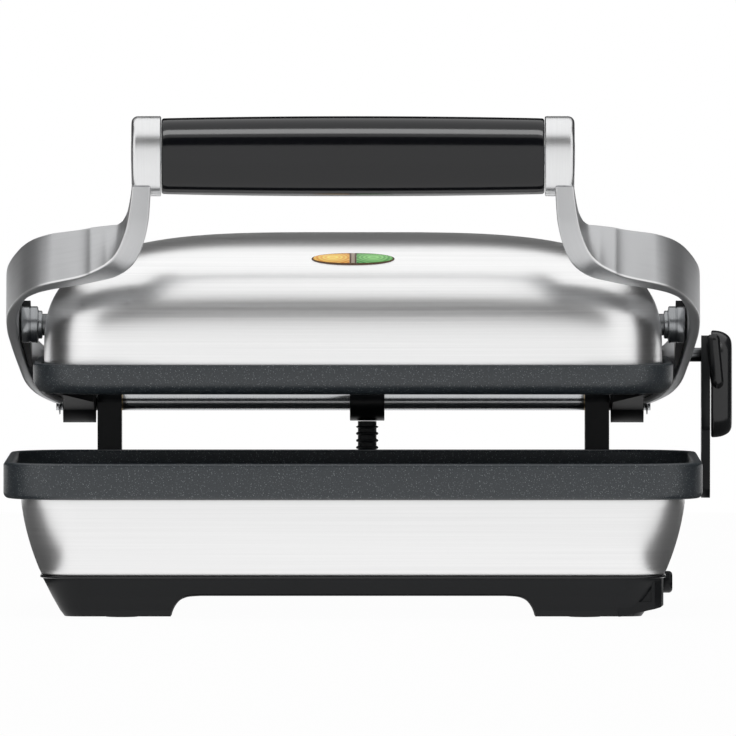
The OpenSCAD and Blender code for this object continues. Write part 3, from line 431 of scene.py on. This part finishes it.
# Band: a thin sheet that leans in toward its foot, its top edge tucked behind the tray
BAND_W, BAND_D, BAND_R = TRAY_W - 20, TRAY_D - 20, TRAY_R - 6
BAND_TOP, SEAM = tray_low - 2.5, 24.0
BAND_TUCK, BAND_SHEET, BAND_ROWS = 2.2, 1.2, 12
BAND_LEAN, BAND_CURL = 0.1217, 0.0039


def band_inset(t):
    """Inset of the band's outline at a depth below its top edge."""
    return BAND_LEAN * t + BAND_CURL * t * t


drop = BAND_TOP - SEAM
depths = [drop * k / BAND_ROWS for k in range(BAND_ROWS + 1)]
band_outer = [(0.0, BAND_TOP + BAND_TUCK)] + [(-band_inset(t), BAND_TOP - t) for t in depths]
foot = band_outer[-1][0]
band_profile = band_outer[:-1] + [(foot, SEAM + 0.5), (foot - 0.4, SEAM)]
band_profile += [(x - BAND_SHEET, z) for x, z in reversed(band_outer)]
sweep_piece("band", BAND_W, BAND_D, BAND_R, band_profile, BAND_STEEL, "base", closed=True,
            slot="band_steel", stands_for=["base_band"])

# Seam bead: the tub's rounded upper edge under the band, as offsets from the band's foot
SEAM_INSET = band_inset(drop)
BEAD = [(-0.6, -0.1), (0.5, -0.2), (0.9, -0.7), (0.7, -1.3), (-0.2, -1.8), (-2.2, -2.0)]
bead = [(out - SEAM_INSET, SEAM + up) for out, up in BEAD]
sweep_piece("seam_bead", BAND_W, BAND_D, BAND_R, bead, SATIN, "base", closed=True, slot="tub_plastic")

# Arch lip: a fine bead round the front opening of the tub
TAPER, ARCH_H, ARCH_W = 13.0, 12.7, 206.0
TAPER_SHARE = [(0.6, 1.0), (4, 0.8), (12, 0.45), (23.5, 0.0)]
LIP_R, LIP_OUT, LIP_UP = 0.55, 0.1, 0.35


def skirt_front(z):
    """Y of the tub's front face at a height, from the share of the taper at a few heights."""
    for (z0, s0), (z1, s1) in zip(TAPER_SHARE, TAPER_SHARE[1:]):
        if z <= z1:
            return -(BAND_D / 2 - SEAM_INSET - TAPER * (s0 + (s1 - s0) * (z - z0) / (z1 - z0)))
    return -(BAND_D / 2 - SEAM_INSET)


arch_side = [(0, 1.2), (-0.6, 3.4), (-2.2, 6.8), (-5.1, 10.2), (-9.6, 12.1), (-17, ARCH_H)]
arch_curve = [(ARCH_W / 2 + x, z) for x, z in catmull(arch_side, 6)]
arch_curve += [(-x, z) for x, z in reversed(arch_curve)]
lip = [(x, skirt_front(z) - LIP_OUT, z + LIP_UP) for x, z in arch_curve]
tube("arch_lip", lip, [LIP_R] * len(lip), 10, SATIN, "base", slot="tub_plastic")

# Ribbed conduit in the base
HINGE_Y, HINGE_Z, HUB_X, HUB_R, HOSE_R, GAP = 150.0, 115.0, 8.0, 11.0, 6.5, 0.3
HOSE_RIBS, HOSE_RIB_H, RIB_STEPS, PLAIN_STEPS = 12, 1.1, 8, 6
HOUSING_TOP = tray_low - 5


def ribbed(name, centre_line, body, node):
    """Ribbed conduit along a line given as a function of t from 0 to 1, plain at both ends."""
    steps = HOSE_RIBS * RIB_STEPS
    route, radii = [], []
    for i in range(steps + 1):
        phase = (i % RIB_STEPS) / RIB_STEPS
        crest = max(0.0, math.sin(2 * math.pi * phase)) ** 0.5
        plain = i < PLAIN_STEPS or i > steps - PLAIN_STEPS
        route.append(centre_line(i / steps))
        radii.append(HOSE_R - HOSE_RIB_H + (0.0 if plain else HOSE_RIB_H * crest))
    return tube(name, route, radii, 32, HOSE, body, slot="conduit", stands_for=[node])


conduit_low, conduit_top = HOUSING_TOP - 7.5, HINGE_Z - HUB_R - GAP
ribbed("conduit_base", lambda t: (HUB_X, HINGE_Y, conduit_low + (conduit_top - conduit_low) * t),
       "base", "lower_conduit")

# Lid plate
PIN_Y, PIN_Z = 13.0, 163.0
PLATE_W, PLATE_D, PLATE_R, PLATE_TOP, PLATE_H = 363.2, 224.0, 44.0, 143.0, 17.0
low = PLATE_TOP - PLATE_H
plate_profile = fillet([
    (-24, low + 2), (-21.5, low + 2), (-20, low, 0.6), (0, low, 8.5), (0, PLATE_TOP, 1.3),
    (-4.2, PLATE_TOP, 1.3), (-5, PLATE_TOP - 2.8, 0.4), (-13, PLATE_TOP - 2.8), (-13, low + 6),
    (-24, low + 6)], 6)
sweep_piece("lid_plate", PLATE_W, PLATE_D, PLATE_R, plate_profile, CAST, "lid", (0, PIN_Y),
            slot="cast_plate", stands_for=["upper_plate"])

# Ribs under the lid plate, each a low bar from front to back
RIBS, RIB_FIELD_W, RIB_FIELD_D, RIB_TOP = 33, PLATE_W - 50, PLATE_D - 44, low + 2.05
rib_verts, rib_faces = [], []
rib_section = fillet([(-2.6, 0), (-1.3, -1.95, 0.5), (1.3, -1.95, 0.5), (2.6, 0)], 3)
m = len(rib_section)
for k in range(RIBS):
    middle = (k - (RIBS - 1) / 2) * RIB_FIELD_W / (RIBS - 1)
    base = len(rib_verts)
    rib_verts += [(middle + x, PIN_Y + s * RIB_FIELD_D / 2, RIB_TOP + z) for s in (-1, 1)
                  for x, z in rib_section]
    rib_faces += [[base + j, base + j + 1, base + m + j + 1, base + m + j] for j in range(m - 1)]
    rib_faces += [[base + j for j in range(m)], [base + m + j for j in reversed(range(m))],
                  [base, base + m, base + 2 * m - 1, base + m - 1]]
make("lid_ribs", rib_verts, rib_faces, CAST, "lid", slot="cast_plate")

# Dome
DOME_INSET, DOME_SHEET = 5.5, 1.2
DOME_A, DOME_B = PLATE_W / 2 - DOME_INSET, PLATE_D / 2 - DOME_INSET
DOME_Z, DOME_H, DOME_BASE = 140.5, 75.0, 6.0
SQUARE, SHOULDER, FALL = 5.0, 3.6, 3.0
DOME_AROUND, DOME_RINGS = 320, 60
COLUMN_SPREAD, RING_POWER, CROWN_STOP = 1.9, 0.9, 0.9995


def dome_point(level, angle, skin=0.0):
    """Point on the dome at a height share (0 seat to 1 crown) and an angle round it."""
    reach = (1 - level ** FALL) ** (1 / SHOULDER)
    sx = signed_power(math.cos(angle), 2 / SQUARE)
    sy = signed_power(math.sin(angle), 2 / SQUARE)
    return ((DOME_A - skin) * sx * reach, PIN_Y + (DOME_B - skin) * sy * reach,
            DOME_Z + DOME_BASE + (DOME_H - DOME_BASE - skin) * level)


def dome_mesh(skin):
    """One skin of the dome, with V as the length run up its front. COLUMN_SPREAD evens its columns
    out, which would crowd at the corners, and its rings lie closer toward the crown."""
    angles = []
    for k in range(DOME_AROUND):
        t = 2 * math.pi * k / DOME_AROUND
        angles.append(math.atan2(signed_power(math.sin(t), COLUMN_SPREAD),
                                 signed_power(math.cos(t), COLUMN_SPREAD)))
    levels = [math.sin(math.pi / 2 * (i / DOME_RINGS)) ** RING_POWER * CROWN_STOP
              for i in range(DOME_RINGS)]
    rows = [[(p[0], p[1], DOME_Z) for p in (dome_point(0, a, skin) for a in angles)]]
    rows += [[dome_point(level, a, skin) for a in angles] for level in levels]
    verts = [p for row in rows for p in row] + [(0, PIN_Y, DOME_Z + DOME_H - skin)]
    front, run, uvs = DOME_AROUND // 4 * 3, 0.0, []
    for i, row in enumerate(rows):
        run += (Vector(row[front]) - Vector(rows[i - 1][front])).length * MM if i else 0.0
        uvs += [(0.0, run)] * DOME_AROUND
    uvs.append((0.0, run))
    faces = grid_faces(len(rows), DOME_AROUND, wrap_n=False, wrap_m=True)
    top = (len(rows) - 1) * DOME_AROUND
    faces += [[top + k, top + (k + 1) % DOME_AROUND, len(verts) - 1] for k in range(DOME_AROUND)]
    return verts, faces, uvs


outer_verts, dome_faces, outer_uvs = dome_mesh(0.0)
inner_verts, inner_faces, inner_uvs = dome_mesh(DOME_SHEET)
shift = len(outer_verts)
dome_faces += [[shift + i for i in reversed(f)] for f in inner_faces]
dome_faces += [[k, shift + k, shift + (k + 1) % DOME_AROUND, (k + 1) % DOME_AROUND]
               for k in range(DOME_AROUND)]
make("dome", outer_verts + inner_verts, dome_faces, DOME_STEEL, "lid", slot="dome_steel",
     stands_for=["lid_dome"], smooth=50, uvs=outer_uvs + inner_uvs)

# Indicator window, drawn flat and then laid on the dome's front
WINDOW_UP, WINDOW_A, WINDOW_B, WINDOW_DEEP = 61.8, 23.5, 5.3, 2.5
WINDOW_POINTS, OVAL_POWER, SLOPE_STEP = 160, 2.3, 0.01
LENS_INNER, LENS_OUTER, LENS_RIM_UP = 2.0, WINDOW_A - 1.0, 0.35


def dome_rise(reach):
    """Height of the dome over its seat at a share of its half width."""
    return (DOME_H - DOME_BASE) * (1 - reach ** SHOULDER) ** (1 / FALL)


window_level = (WINDOW_UP - DOME_BASE) / (DOME_H - DOME_BASE)
window_reach = (1 - window_level ** FALL) ** (1 / SHOULDER)
window_fall = dome_rise(window_reach - SLOPE_STEP) - dome_rise(window_reach + SLOPE_STEP)
window_tilt = math.atan(window_fall / (2 * SLOPE_STEP * DOME_B))
WINDOW = Matrix.Translation((0, PIN_Y - DOME_B * window_reach, DOME_Z + WINDOW_UP))
WINDOW = WINDOW @ Matrix.Rotation(window_tilt, 4, "X")


def window_half(x, a, b):
    """Half height of the window's outline at x: a long oval, a little pointed at its ends."""
    return b * max(0.0, 1 - (abs(x) / a) ** OVAL_POWER) ** 0.5


def on_window(points):
    return [tuple(WINDOW @ Vector(p)) for p in points]


def lens(name, x0, x1, material, node):
    """Convex lens between two ends of the window: a crowned top, a flat underside and a rim."""
    cols, rows, a, b = 40, 14, WINDOW_A - 0.9, WINDOW_B - 0.8
    crown, under = [], []
    for i in range(cols + 1):
        x = x0 + (x1 - x0) * i / cols
        half = window_half(x, a, b) + 0.02
        edge = min(1.0, (i + 0.5) / 3, (cols - i + 0.5) / 3)
        for j in range(rows + 1):
            t = math.pi * (j / rows - 0.5)
            crown.append((x, half * math.sin(t), LENS_RIM_UP + edge ** 0.5 * math.cos(t) ** 0.6))
            under.append((x, half * math.sin(t), -WINDOW_DEEP))
    count = len(crown)
    faces = grid_faces(cols + 1, rows + 1, wrap_n=False)
    faces += [[count + i for i in reversed(f)] for f in grid_faces(cols + 1, rows + 1, wrap_n=False)]
    rim = [i * (rows + 1) for i in range(cols + 1)] + [cols * (rows + 1) + j for j in range(1, rows + 1)]
    rim += [i * (rows + 1) + rows for i in range(cols - 1, -1, -1)] + list(range(rows - 1, 0, -1))
    for k, i in enumerate(rim):
        j = rim[(k + 1) % len(rim)]
        faces.append([i, j, count + j, count + i])
    return make(name, on_window(crown + under), faces, material, "lid", slot=node, stands_for=[node])


lens("lens_left", -LENS_OUTER, -LENS_INNER, AMBER, "lens_amber")
lens("lens_right", LENS_INNER, LENS_OUTER, GREEN, "lens_green")

ring_section = [(0, -WINDOW_DEEP), (0, 0.25), (0.25, 0.5), (0.7, 0.5), (0.95, 0.3), (0.95, -WINDOW_DEEP)]
ring_verts = []
for k in range(WINDOW_POINTS):
    t = 2 * math.pi * k / WINDOW_POINTS
    x = WINDOW_A * signed_power(math.cos(t), 0.9)
    for inset, up in ring_section:
        a, b = WINDOW_A - inset, WINDOW_B - inset
        xi = x * a / WINDOW_A
        ring_verts.append((xi, math.copysign(window_half(xi, a, b), math.sin(t)), up))
make("window_ring", on_window(ring_verts), grid_faces(WINDOW_POINTS, len(ring_section), wrap_m=True), BROWN,
     "lid", slot="bezel", stands_for=["window_bezel"])

BAR_REACH, BAR_ROWS = 4.6, 13
for name, half_w, up, material in (("window_bar", 1.95, 1.05, BROWN), ("window_strip", 0.95, 1.25, PALE)):
    bar_verts = []
    for k in range(BAR_ROWS):
        y = BAR_REACH * (2 * k / (BAR_ROWS - 1) - 1)
        crown = up - 0.55 * (y / BAR_REACH) ** 2
        bar_verts += [(-half_w, y, -WINDOW_DEEP), (-half_w, y, crown - 0.15), (-half_w + 0.3, y, crown),
                      (half_w - 0.3, y, crown), (half_w, y, crown - 0.15), (half_w, y, -WINDOW_DEEP)]
    make(name, on_window(bar_verts), loft_faces(BAR_ROWS, len(bar_verts) // BAR_ROWS), material, "lid",
         slot="bezel")

# Ribbed conduit from the hinge hub to the lid, which bends between the two
SOCKET = Vector((-6, PIN_Y + DOME_B + 3 + GAP, PLATE_TOP + 11))
HUB_TOP = Vector((HUB_X, HINGE_Y, HINGE_Z + HUB_R + GAP))
SOCKET_PULL, HUB_PULL = Vector((0, 30, 0)), Vector((0, 0, 24))


def conduit_line(t):
    """Point of a smooth curve that leaves the socket backward and comes down on the hub."""
    u, p1, p2 = 1 - t, SOCKET + SOCKET_PULL, HUB_TOP + HUB_PULL
    return tuple(u ** 3 * SOCKET + 3 * u * u * t * p1 + 3 * u * t * t * p2 + t ** 3 * HUB_TOP)


upper = ribbed("conduit_lid", conduit_line, None, "upper_conduit")
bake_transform(upper)

# Arms: rows of the strip's front outline (inner x, z, outer x, z) and of its side view (z, y of the
# front edge, lean in degrees, share of the width)
ARM_EDGE = [
    (167.6, 114.6, 173, 115.3), (173.5, 117.5, 178.5, 117.9), (178.8, 121.3, 184, 121.5),
    (184, 128.4, 189, 127.9), (187.3, 138.8, 192.3, 138), (189.9, 150.5, 195.4, 149.5),
    (191.2, 159.6, 197.4, 160), (190.6, 168.5, 196.4, 170), (186.3, 177.9, 189.5, 179.6),
    (180.5, 182, 182, 185.1), (170.9, 184.8, 172, 188.6), (154, 187.7, 155, 192.4),
    (144.9, 189.6, 147, 195.6), (134.5, 192.1, 139.5, 200), (126.7, 196.6, 134.2, 205.6),
    (121.6, 202.8, 131.2, 211.5), (117.7, 212.7, 128.6, 219), (115.3, 224, 127, 226),
    (114.4, 235, 125.6, 235), (114, 244, 124.6, 244)]
ARM_SIDE = [
    (100, 160.4, 71, 1), (189, -98.3, 71, 1), (195, -111.5, 60, 1), (200, -117.2, 48, 0.99),
    (206, -120.6, 34, 0.97), (214, -122, 22, 0.95), (224, -122.3, 13, 0.92), (244, -121.5, 6, 0.9)]
ARM_W, ARM_ROUND = 30.0, 1.7


def arm_at(z, k):
    """Value of the arm's side table at a height, straight between its rows."""
    for a, b in zip(ARM_SIDE, ARM_SIDE[1:]):
        if z <= b[0]:
            t = max(0.0, (z - a[0]) / (b[0] - a[0]))
            return a[k] + (b[k] - a[k]) * t
    return ARM_SIDE[-1][k]


def edge_pair(x, z):
    """Front and rear point across the strip's width at a point of its front outline."""
    y, lean, w = arm_at(z, 1), math.radians(arm_at(z, 2)), ARM_W * arm_at(z, 3)
    return Vector((x, y, z)), Vector((x, y + w * math.cos(lean), z + w * math.sin(lean)))


def rounded_quad(corners, r, steps=4):
    """Quad through four points in space with rounded corners."""
    ring = []
    for i, p in enumerate(corners):
        back, on = corners[i - 1] - p, corners[(i + 1) % 4] - p
        start = p + back.normalized() * min(r, back.length * 0.45)
        end = p + on.normalized() * min(r, on.length * 0.45)
        for k in range(steps + 1):
            t = k / steps
            ring.append((1 - t) ** 2 * start + 2 * t * (1 - t) * p + t * t * end)
    return ring


def arm_strip():
    """Strip loft of the right arm: rings of a rounded section up the arm."""
    rows, uvs = [], []
    run, last = 0.0, None
    for inner_x, inner_z, outer_x, outer_z in catmull(ARM_EDGE, 6):
        inner_front, inner_rear = edge_pair(inner_x, inner_z)
        outer_front, outer_rear = edge_pair(outer_x, outer_z)
        ring = rounded_quad([inner_rear, inner_front, outer_front, outer_rear], ARM_ROUND)
        here = (inner_front + outer_rear) / 2
        run += (here - last).length if last is not None else 0.0
        last = here
        rows.append(ring)
        uvs += [(run * MM, k / len(ring) * SECTION_V) for k in range(len(ring))]
    verts = [tuple(p) for row in rows for p in row]
    return verts, loft_faces(len(rows), len(rows[0])), uvs


# Grip, its collars and end caps: one upright soft section runs through grip and collars
GRIP_Y, GRIP_Z, GRIP_A, GRIP_B, GRIP_POWER = -105.5, 261.0, 22.6, 19.4, 2.6
GRIP_HALF, COLLAR_END, COLLAR_ROUND = 108.0, 125.0, 3.6
GRIP_POINTS, GRIP_WAIST = 120, 1.2


def bar(stations):
    """Closed bar along X of the grip's section: stations are (x, shrink of the section). The section
    is flatter on its front than an ellipse."""
    verts = []
    for x, shrink in stations:
        for k in range(GRIP_POINTS):
            t = 2 * math.pi * k / GRIP_POINTS
            verts.append((x, GRIP_Y + (GRIP_B - shrink) * signed_power(math.cos(t), 2 / GRIP_POWER),
                          GRIP_Z + (GRIP_A - shrink) * signed_power(math.sin(t), 2 / GRIP_POWER)))
    return verts, loft_faces(len(stations), GRIP_POINTS)


collar_stations = [(GRIP_HALF + 0.3, 1.0), (GRIP_HALF + 0.35, 0.5), (GRIP_HALF + 0.8, 0.0)]
for a in range(0, 91, 15):
    turn = math.radians(a)
    collar_stations.append((COLLAR_END - COLLAR_ROUND * (1 - math.sin(turn)),
                            COLLAR_ROUND * (1 - math.cos(turn))))
strip_verts, strip_faces, strip_uvs = arm_strip()
collar_verts, collar_faces = bar(collar_stations)
for side, name in ((1, "right"), (-1, "left")):
    verts, faces = on_side(side, strip_verts, strip_faces)
    make(f"arm_strip_{name}", verts, faces, ALU, "arms", slot="arm_metal", stands_for=[f"arm_{name}"],
         uvs=strip_uvs, uv_round=SECTION_V)
    verts, faces = on_side(side, collar_verts, collar_faces)
    make(f"collar_{name}", verts, faces, COLLAR, "arms", slot="arm_metal", smooth=40)

cap_verts, cap_faces = turned([
    (COLLAR_END - 1.5, 9.0), (COLLAR_END - 0.1, 9.0), (COLLAR_END + 0.15, 8.7), (COLLAR_END + 0.25, 8.0),
    (COLLAR_END + 0.3, 4.0)], GRIP_Y, GRIP_Z)
other_verts, other_faces = mirrored(cap_verts, cap_faces)
other_faces = [[len(cap_verts) + i for i in f] for f in other_faces]
make("grip_caps", cap_verts + other_verts, cap_faces + other_faces, COLLAR, "arms", slot="arm_metal",
     stands_for=["grip_screws"], smooth=40)

# Bosses that carry the lid's pins
boss_verts, boss_faces = turned([
    (177.5, 7.4), (178.0, 8.0), (179.5, 8.0), (179.8, 8.6), (180.0, 9.9), (180.5, 10.5), (184.1, 10.5),
    (184.4, 10.1), (184.8, 10.1), (185.1, 10.5), (188.6, 10.5), (189.2, 10.2), (189.6, 9.6)], PIN_Y, PIN_Z)
for side, name in ((1, "right"), (-1, "left")):
    verts, faces = on_side(side, boss_verts, boss_faces)
    make(f"boss_{name}", verts, faces, BOSS_METAL, "arms", slot="boss_metal",
         stands_for=[f"pivot_boss_{name}"], smooth=30)

# The grip itself, a little slimmer toward its ends. Glossy rays pass it, so the dome mirrors no bar.
end_stations = [(-GRIP_HALF, 2.2), (-GRIP_HALF + 0.25, 1.7), (-GRIP_HALF + 1.0, 1.25)]
grip_stations = end_stations + [(x, GRIP_WAIST * (x / GRIP_HALF) ** 2) for x in range(-104, 105, 8)]
grip_stations += [(-x, shrink) for x, shrink in reversed(end_stations)]
verts, faces = bar(grip_stations)
grip_bar = make("grip_bar", verts, faces, GLOSS, "arms", slot="grip_black", stands_for=["grip"], smooth=40)
grip_bar.visible_glossy = False

# Height lock lever: a paddle with a round top, a soft lower end and a crowned face, and a rib that
# runs down its front edge
STUD_Y, STUD_Z = 81.28, 144.03
LEVER_X, PADDLE_UP, PADDLE_LOW = 205.8, 14.0, 47.5
PADDLE_R, PADDLE_CORNER = 14.0, 12.0
corner_z = PADDLE_CORNER - PADDLE_LOW


def arc(y, z, r, first, last):
    """Points of an arc in the YZ plane, every 6 degrees."""
    return [(y + r * math.cos(math.radians(a)), z + r * math.sin(math.radians(a)))
            for a in range(first, last + 1, 6)]


paddle = arc(0, PADDLE_UP - PADDLE_R, PADDLE_R, 0, 180)
paddle += arc(PADDLE_CORNER - PADDLE_R, corner_z, PADDLE_CORNER, 180, 270)
paddle += arc(PADDLE_R - PADDLE_CORNER, corner_z, PADDLE_CORNER, 270, 360)
paddle_stations = [(0, 1.0), (0.3, 0.4), (1.0, 0), (4, 0.25), (6.5, 0.9), (8.5, 1.9), (10, 3.1), (11, 4.5),
                   (11.6, 6.0), (11.9, 7.6), (12, 9.5)]
paddle_rows = catmull(paddle_stations, 3)
paddle_verts = []
for x, inset in paddle_rows:
    for y, z in paddle:
        core = Vector((0, min(max(z, corner_z), PADDLE_UP - PADDLE_R)))
        place = core + (Vector((y, z)) - core) * (1 - inset / PADDLE_R)
        paddle_verts.append((LEVER_X + x, STUD_Y + place.x, STUD_Z + place.y))
make("paddle", paddle_verts, loft_faces(len(paddle_rows), len(paddle)), SATIN, "lever", slot="tub_plastic",
     stands_for=["lock_lever"], smooth=50)

RIB_X, RIB_Y, RIB_Z, RIB_R = 206.6, STUD_Y - 12.2, 156.0, 3.8
rib_radii = [2.2, 3.3] + [RIB_R] * 20 + [3.5, 2.9, 1.6]
rib = [(RIB_X + 0.12 * k, RIB_Y, RIB_Z - 1.3 * k) for k in range(len(rib_radii))]
tube("paddle_rib", rib, rib_radii, 20, SATIN, "lever", slot="tub_plastic")

# Floor: nearly all glow to the camera and to reflections, a plain white surface to other rays
GLOW_SHARE = 0.97
floor_mesh = bpy.data.meshes.new("floor")
floor_mesh.from_pydata([(-3, -2.5, 0), (3, -2.5, 0), (3, 1.6, 0), (-3, 1.6, 0)], [], [[0, 1, 2, 3]])
floor = bpy.data.objects.new("floor", floor_mesh)
bpy.context.scene.collection.objects.link(floor)
n = Nodes("floor_white")
n.put(Base_Color=(0.86, 0.86, 0.86, 1), Roughness=0.9)
glow = n.add("ShaderNodeEmission", {"Color": (1, 1, 1, 1), "Strength": 1.0})
path = n.add("ShaderNodeLightPath")
seen = n.compute("MAXIMUM", path.outputs["Is Camera Ray"], path.outputs["Is Glossy Ray"])
mix = n.add("ShaderNodeMixShader", {0: n.compute("MULTIPLY", seen, GLOW_SHARE), 1: n.shader.outputs[0],
                                    2: glow.outputs[0]})
n.tree.links.new(mix.outputs[0], n.tree.nodes["Material Output"].inputs["Surface"])
floor_mesh.materials.append(n.owner)

# World: white where it is seen, half as bright where it only lights
world = bpy.data.worlds.new("studio")
bpy.context.scene.world = world
n = Nodes("studio", world)
path = n.add("ShaderNodeLightPath")
seen = n.compute("MAXIMUM", path.outputs["Is Camera Ray"], path.outputs["Is Glossy Ray"])
seen = n.compute("MAXIMUM", seen, path.outputs["Is Transmission Ray"])
n.put(Color=(1, 1, 1, 1), Strength=n.span(seen, 0.5, 1.0))


# Lamps: two broad ones without a reflection of their own, and a strip that lights only grip and lever
def lamp(name, place, aim, size, power):
    """Rectangular lamp at a place, turned to a point."""
    data = bpy.data.lights.new(name, "AREA")
    data.shape = "RECTANGLE"
    data.size, data.size_y, data.energy = size[0], size[1], power
    obj = bpy.data.objects.new(name, data)
    bpy.context.scene.collection.objects.link(obj)
    obj.location = place
    obj.rotation_euler = (Vector(aim) - Vector(place)).to_track_quat("-Z", "Y").to_euler()
    return obj


lamp("top_light", (0, -0.3, 2.0), (0, -0.02, 0.1), (3.0, 1.2), 12).visible_glossy = False
lamp("front_light", (0, -3.2, 0.76), (0, 0, 0.15), (3.2, 0.8), 8).visible_glossy = False
strip = lamp("grip_strip", (0, -1.15, 1.75), (0, -0.1, 0.25), (2.6, 0.62), 26)
glossy_pieces = bpy.data.collections.new("glossy_pieces")
for name in ("grip_bar", "paddle"):
    glossy_pieces.objects.link(bpy.data.objects[name])
strip.light_linking.receiver_collection = glossy_pieces


# Dark studio cards
def card(name, centre, right, up, tone=0.02):
    """Card that only reflections show, given by its middle and two vectors to its sides."""
    c, r, u = Vector(centre), Vector(right), Vector(up)
    mesh = bpy.data.meshes.new(name)
    mesh.from_pydata([c - r - u, c + r - u, c + r + u, c - r + u], [], [[0, 1, 2, 3]])
    obj = bpy.data.objects.new(name, mesh)
    bpy.context.scene.collection.objects.link(obj)
    n = Nodes(name)
    n.put(Base_Color=(tone, tone, tone, 1), Roughness=1.0)
    mesh.materials.append(n.owner)
    obj.visible_camera = obj.visible_diffuse = obj.visible_shadow = obj.visible_transmission = False


def card_at(name, elevation, span, width, distance=2.6):
    """Card across the front at an elevation seen from the grill, tilted to face it."""
    angle = math.radians(elevation)
    centre = Vector((0, -distance * math.cos(angle), 0.15 + distance * math.sin(angle)))
    up = Vector((0, math.sin(angle), math.cos(angle))) * distance * math.tan(math.radians(span / 2))
    card(name, centre, (width, 0, 0), up)


card_at("card_front", 25, 20, 2.6)
card_at("card_rear", 158, 40, 3.2)
for side, name in ((-1, "l"), (1, "r")):
    card(f"card_side_{name}", (side * 1.5, 0.85, 0.75), (0, 1.0, 0), (0, 0, 0.75), 0.03)
    card(f"card_floor_{name}", (side * 0.9, 0.35, 0.0015), (0.703, 0, 0), (0, 0.50, 0), 0.12)

# Camera, fitted to the photograph by pixel places in it and the metres that one pixel spans
PHOTO_SIDE, BASE_PIXEL_X, GROUND_PIXEL_Y = 736, 353, 618
PIXEL = 0.000565
AIM_Y, CAMERA_Z, DISTANCE, SENSOR = -0.10, 0.41, 10.0, 36
aim = Vector(((PHOTO_SIDE / 2 - BASE_PIXEL_X) * PIXEL, AIM_Y, (GROUND_PIXEL_Y - PHOTO_SIDE / 2) * PIXEL))
camera_data = bpy.data.cameras.new("camera")
camera = bpy.data.objects.new("camera", camera_data)
bpy.context.scene.collection.objects.link(camera)
bpy.context.scene.camera = camera
camera.location = (aim.x, aim.y - DISTANCE, CAMERA_Z)
camera.rotation_euler = (aim - camera.location).to_track_quat("-Z", "Y").to_euler()
camera_data.sensor_width = SENSOR
camera_data.lens = SENSOR * (aim - camera.location).length / (PHOTO_SIDE * PIXEL)
camera_data.clip_end = 50

bpy.context.scene.view_settings.view_transform = "Standard"
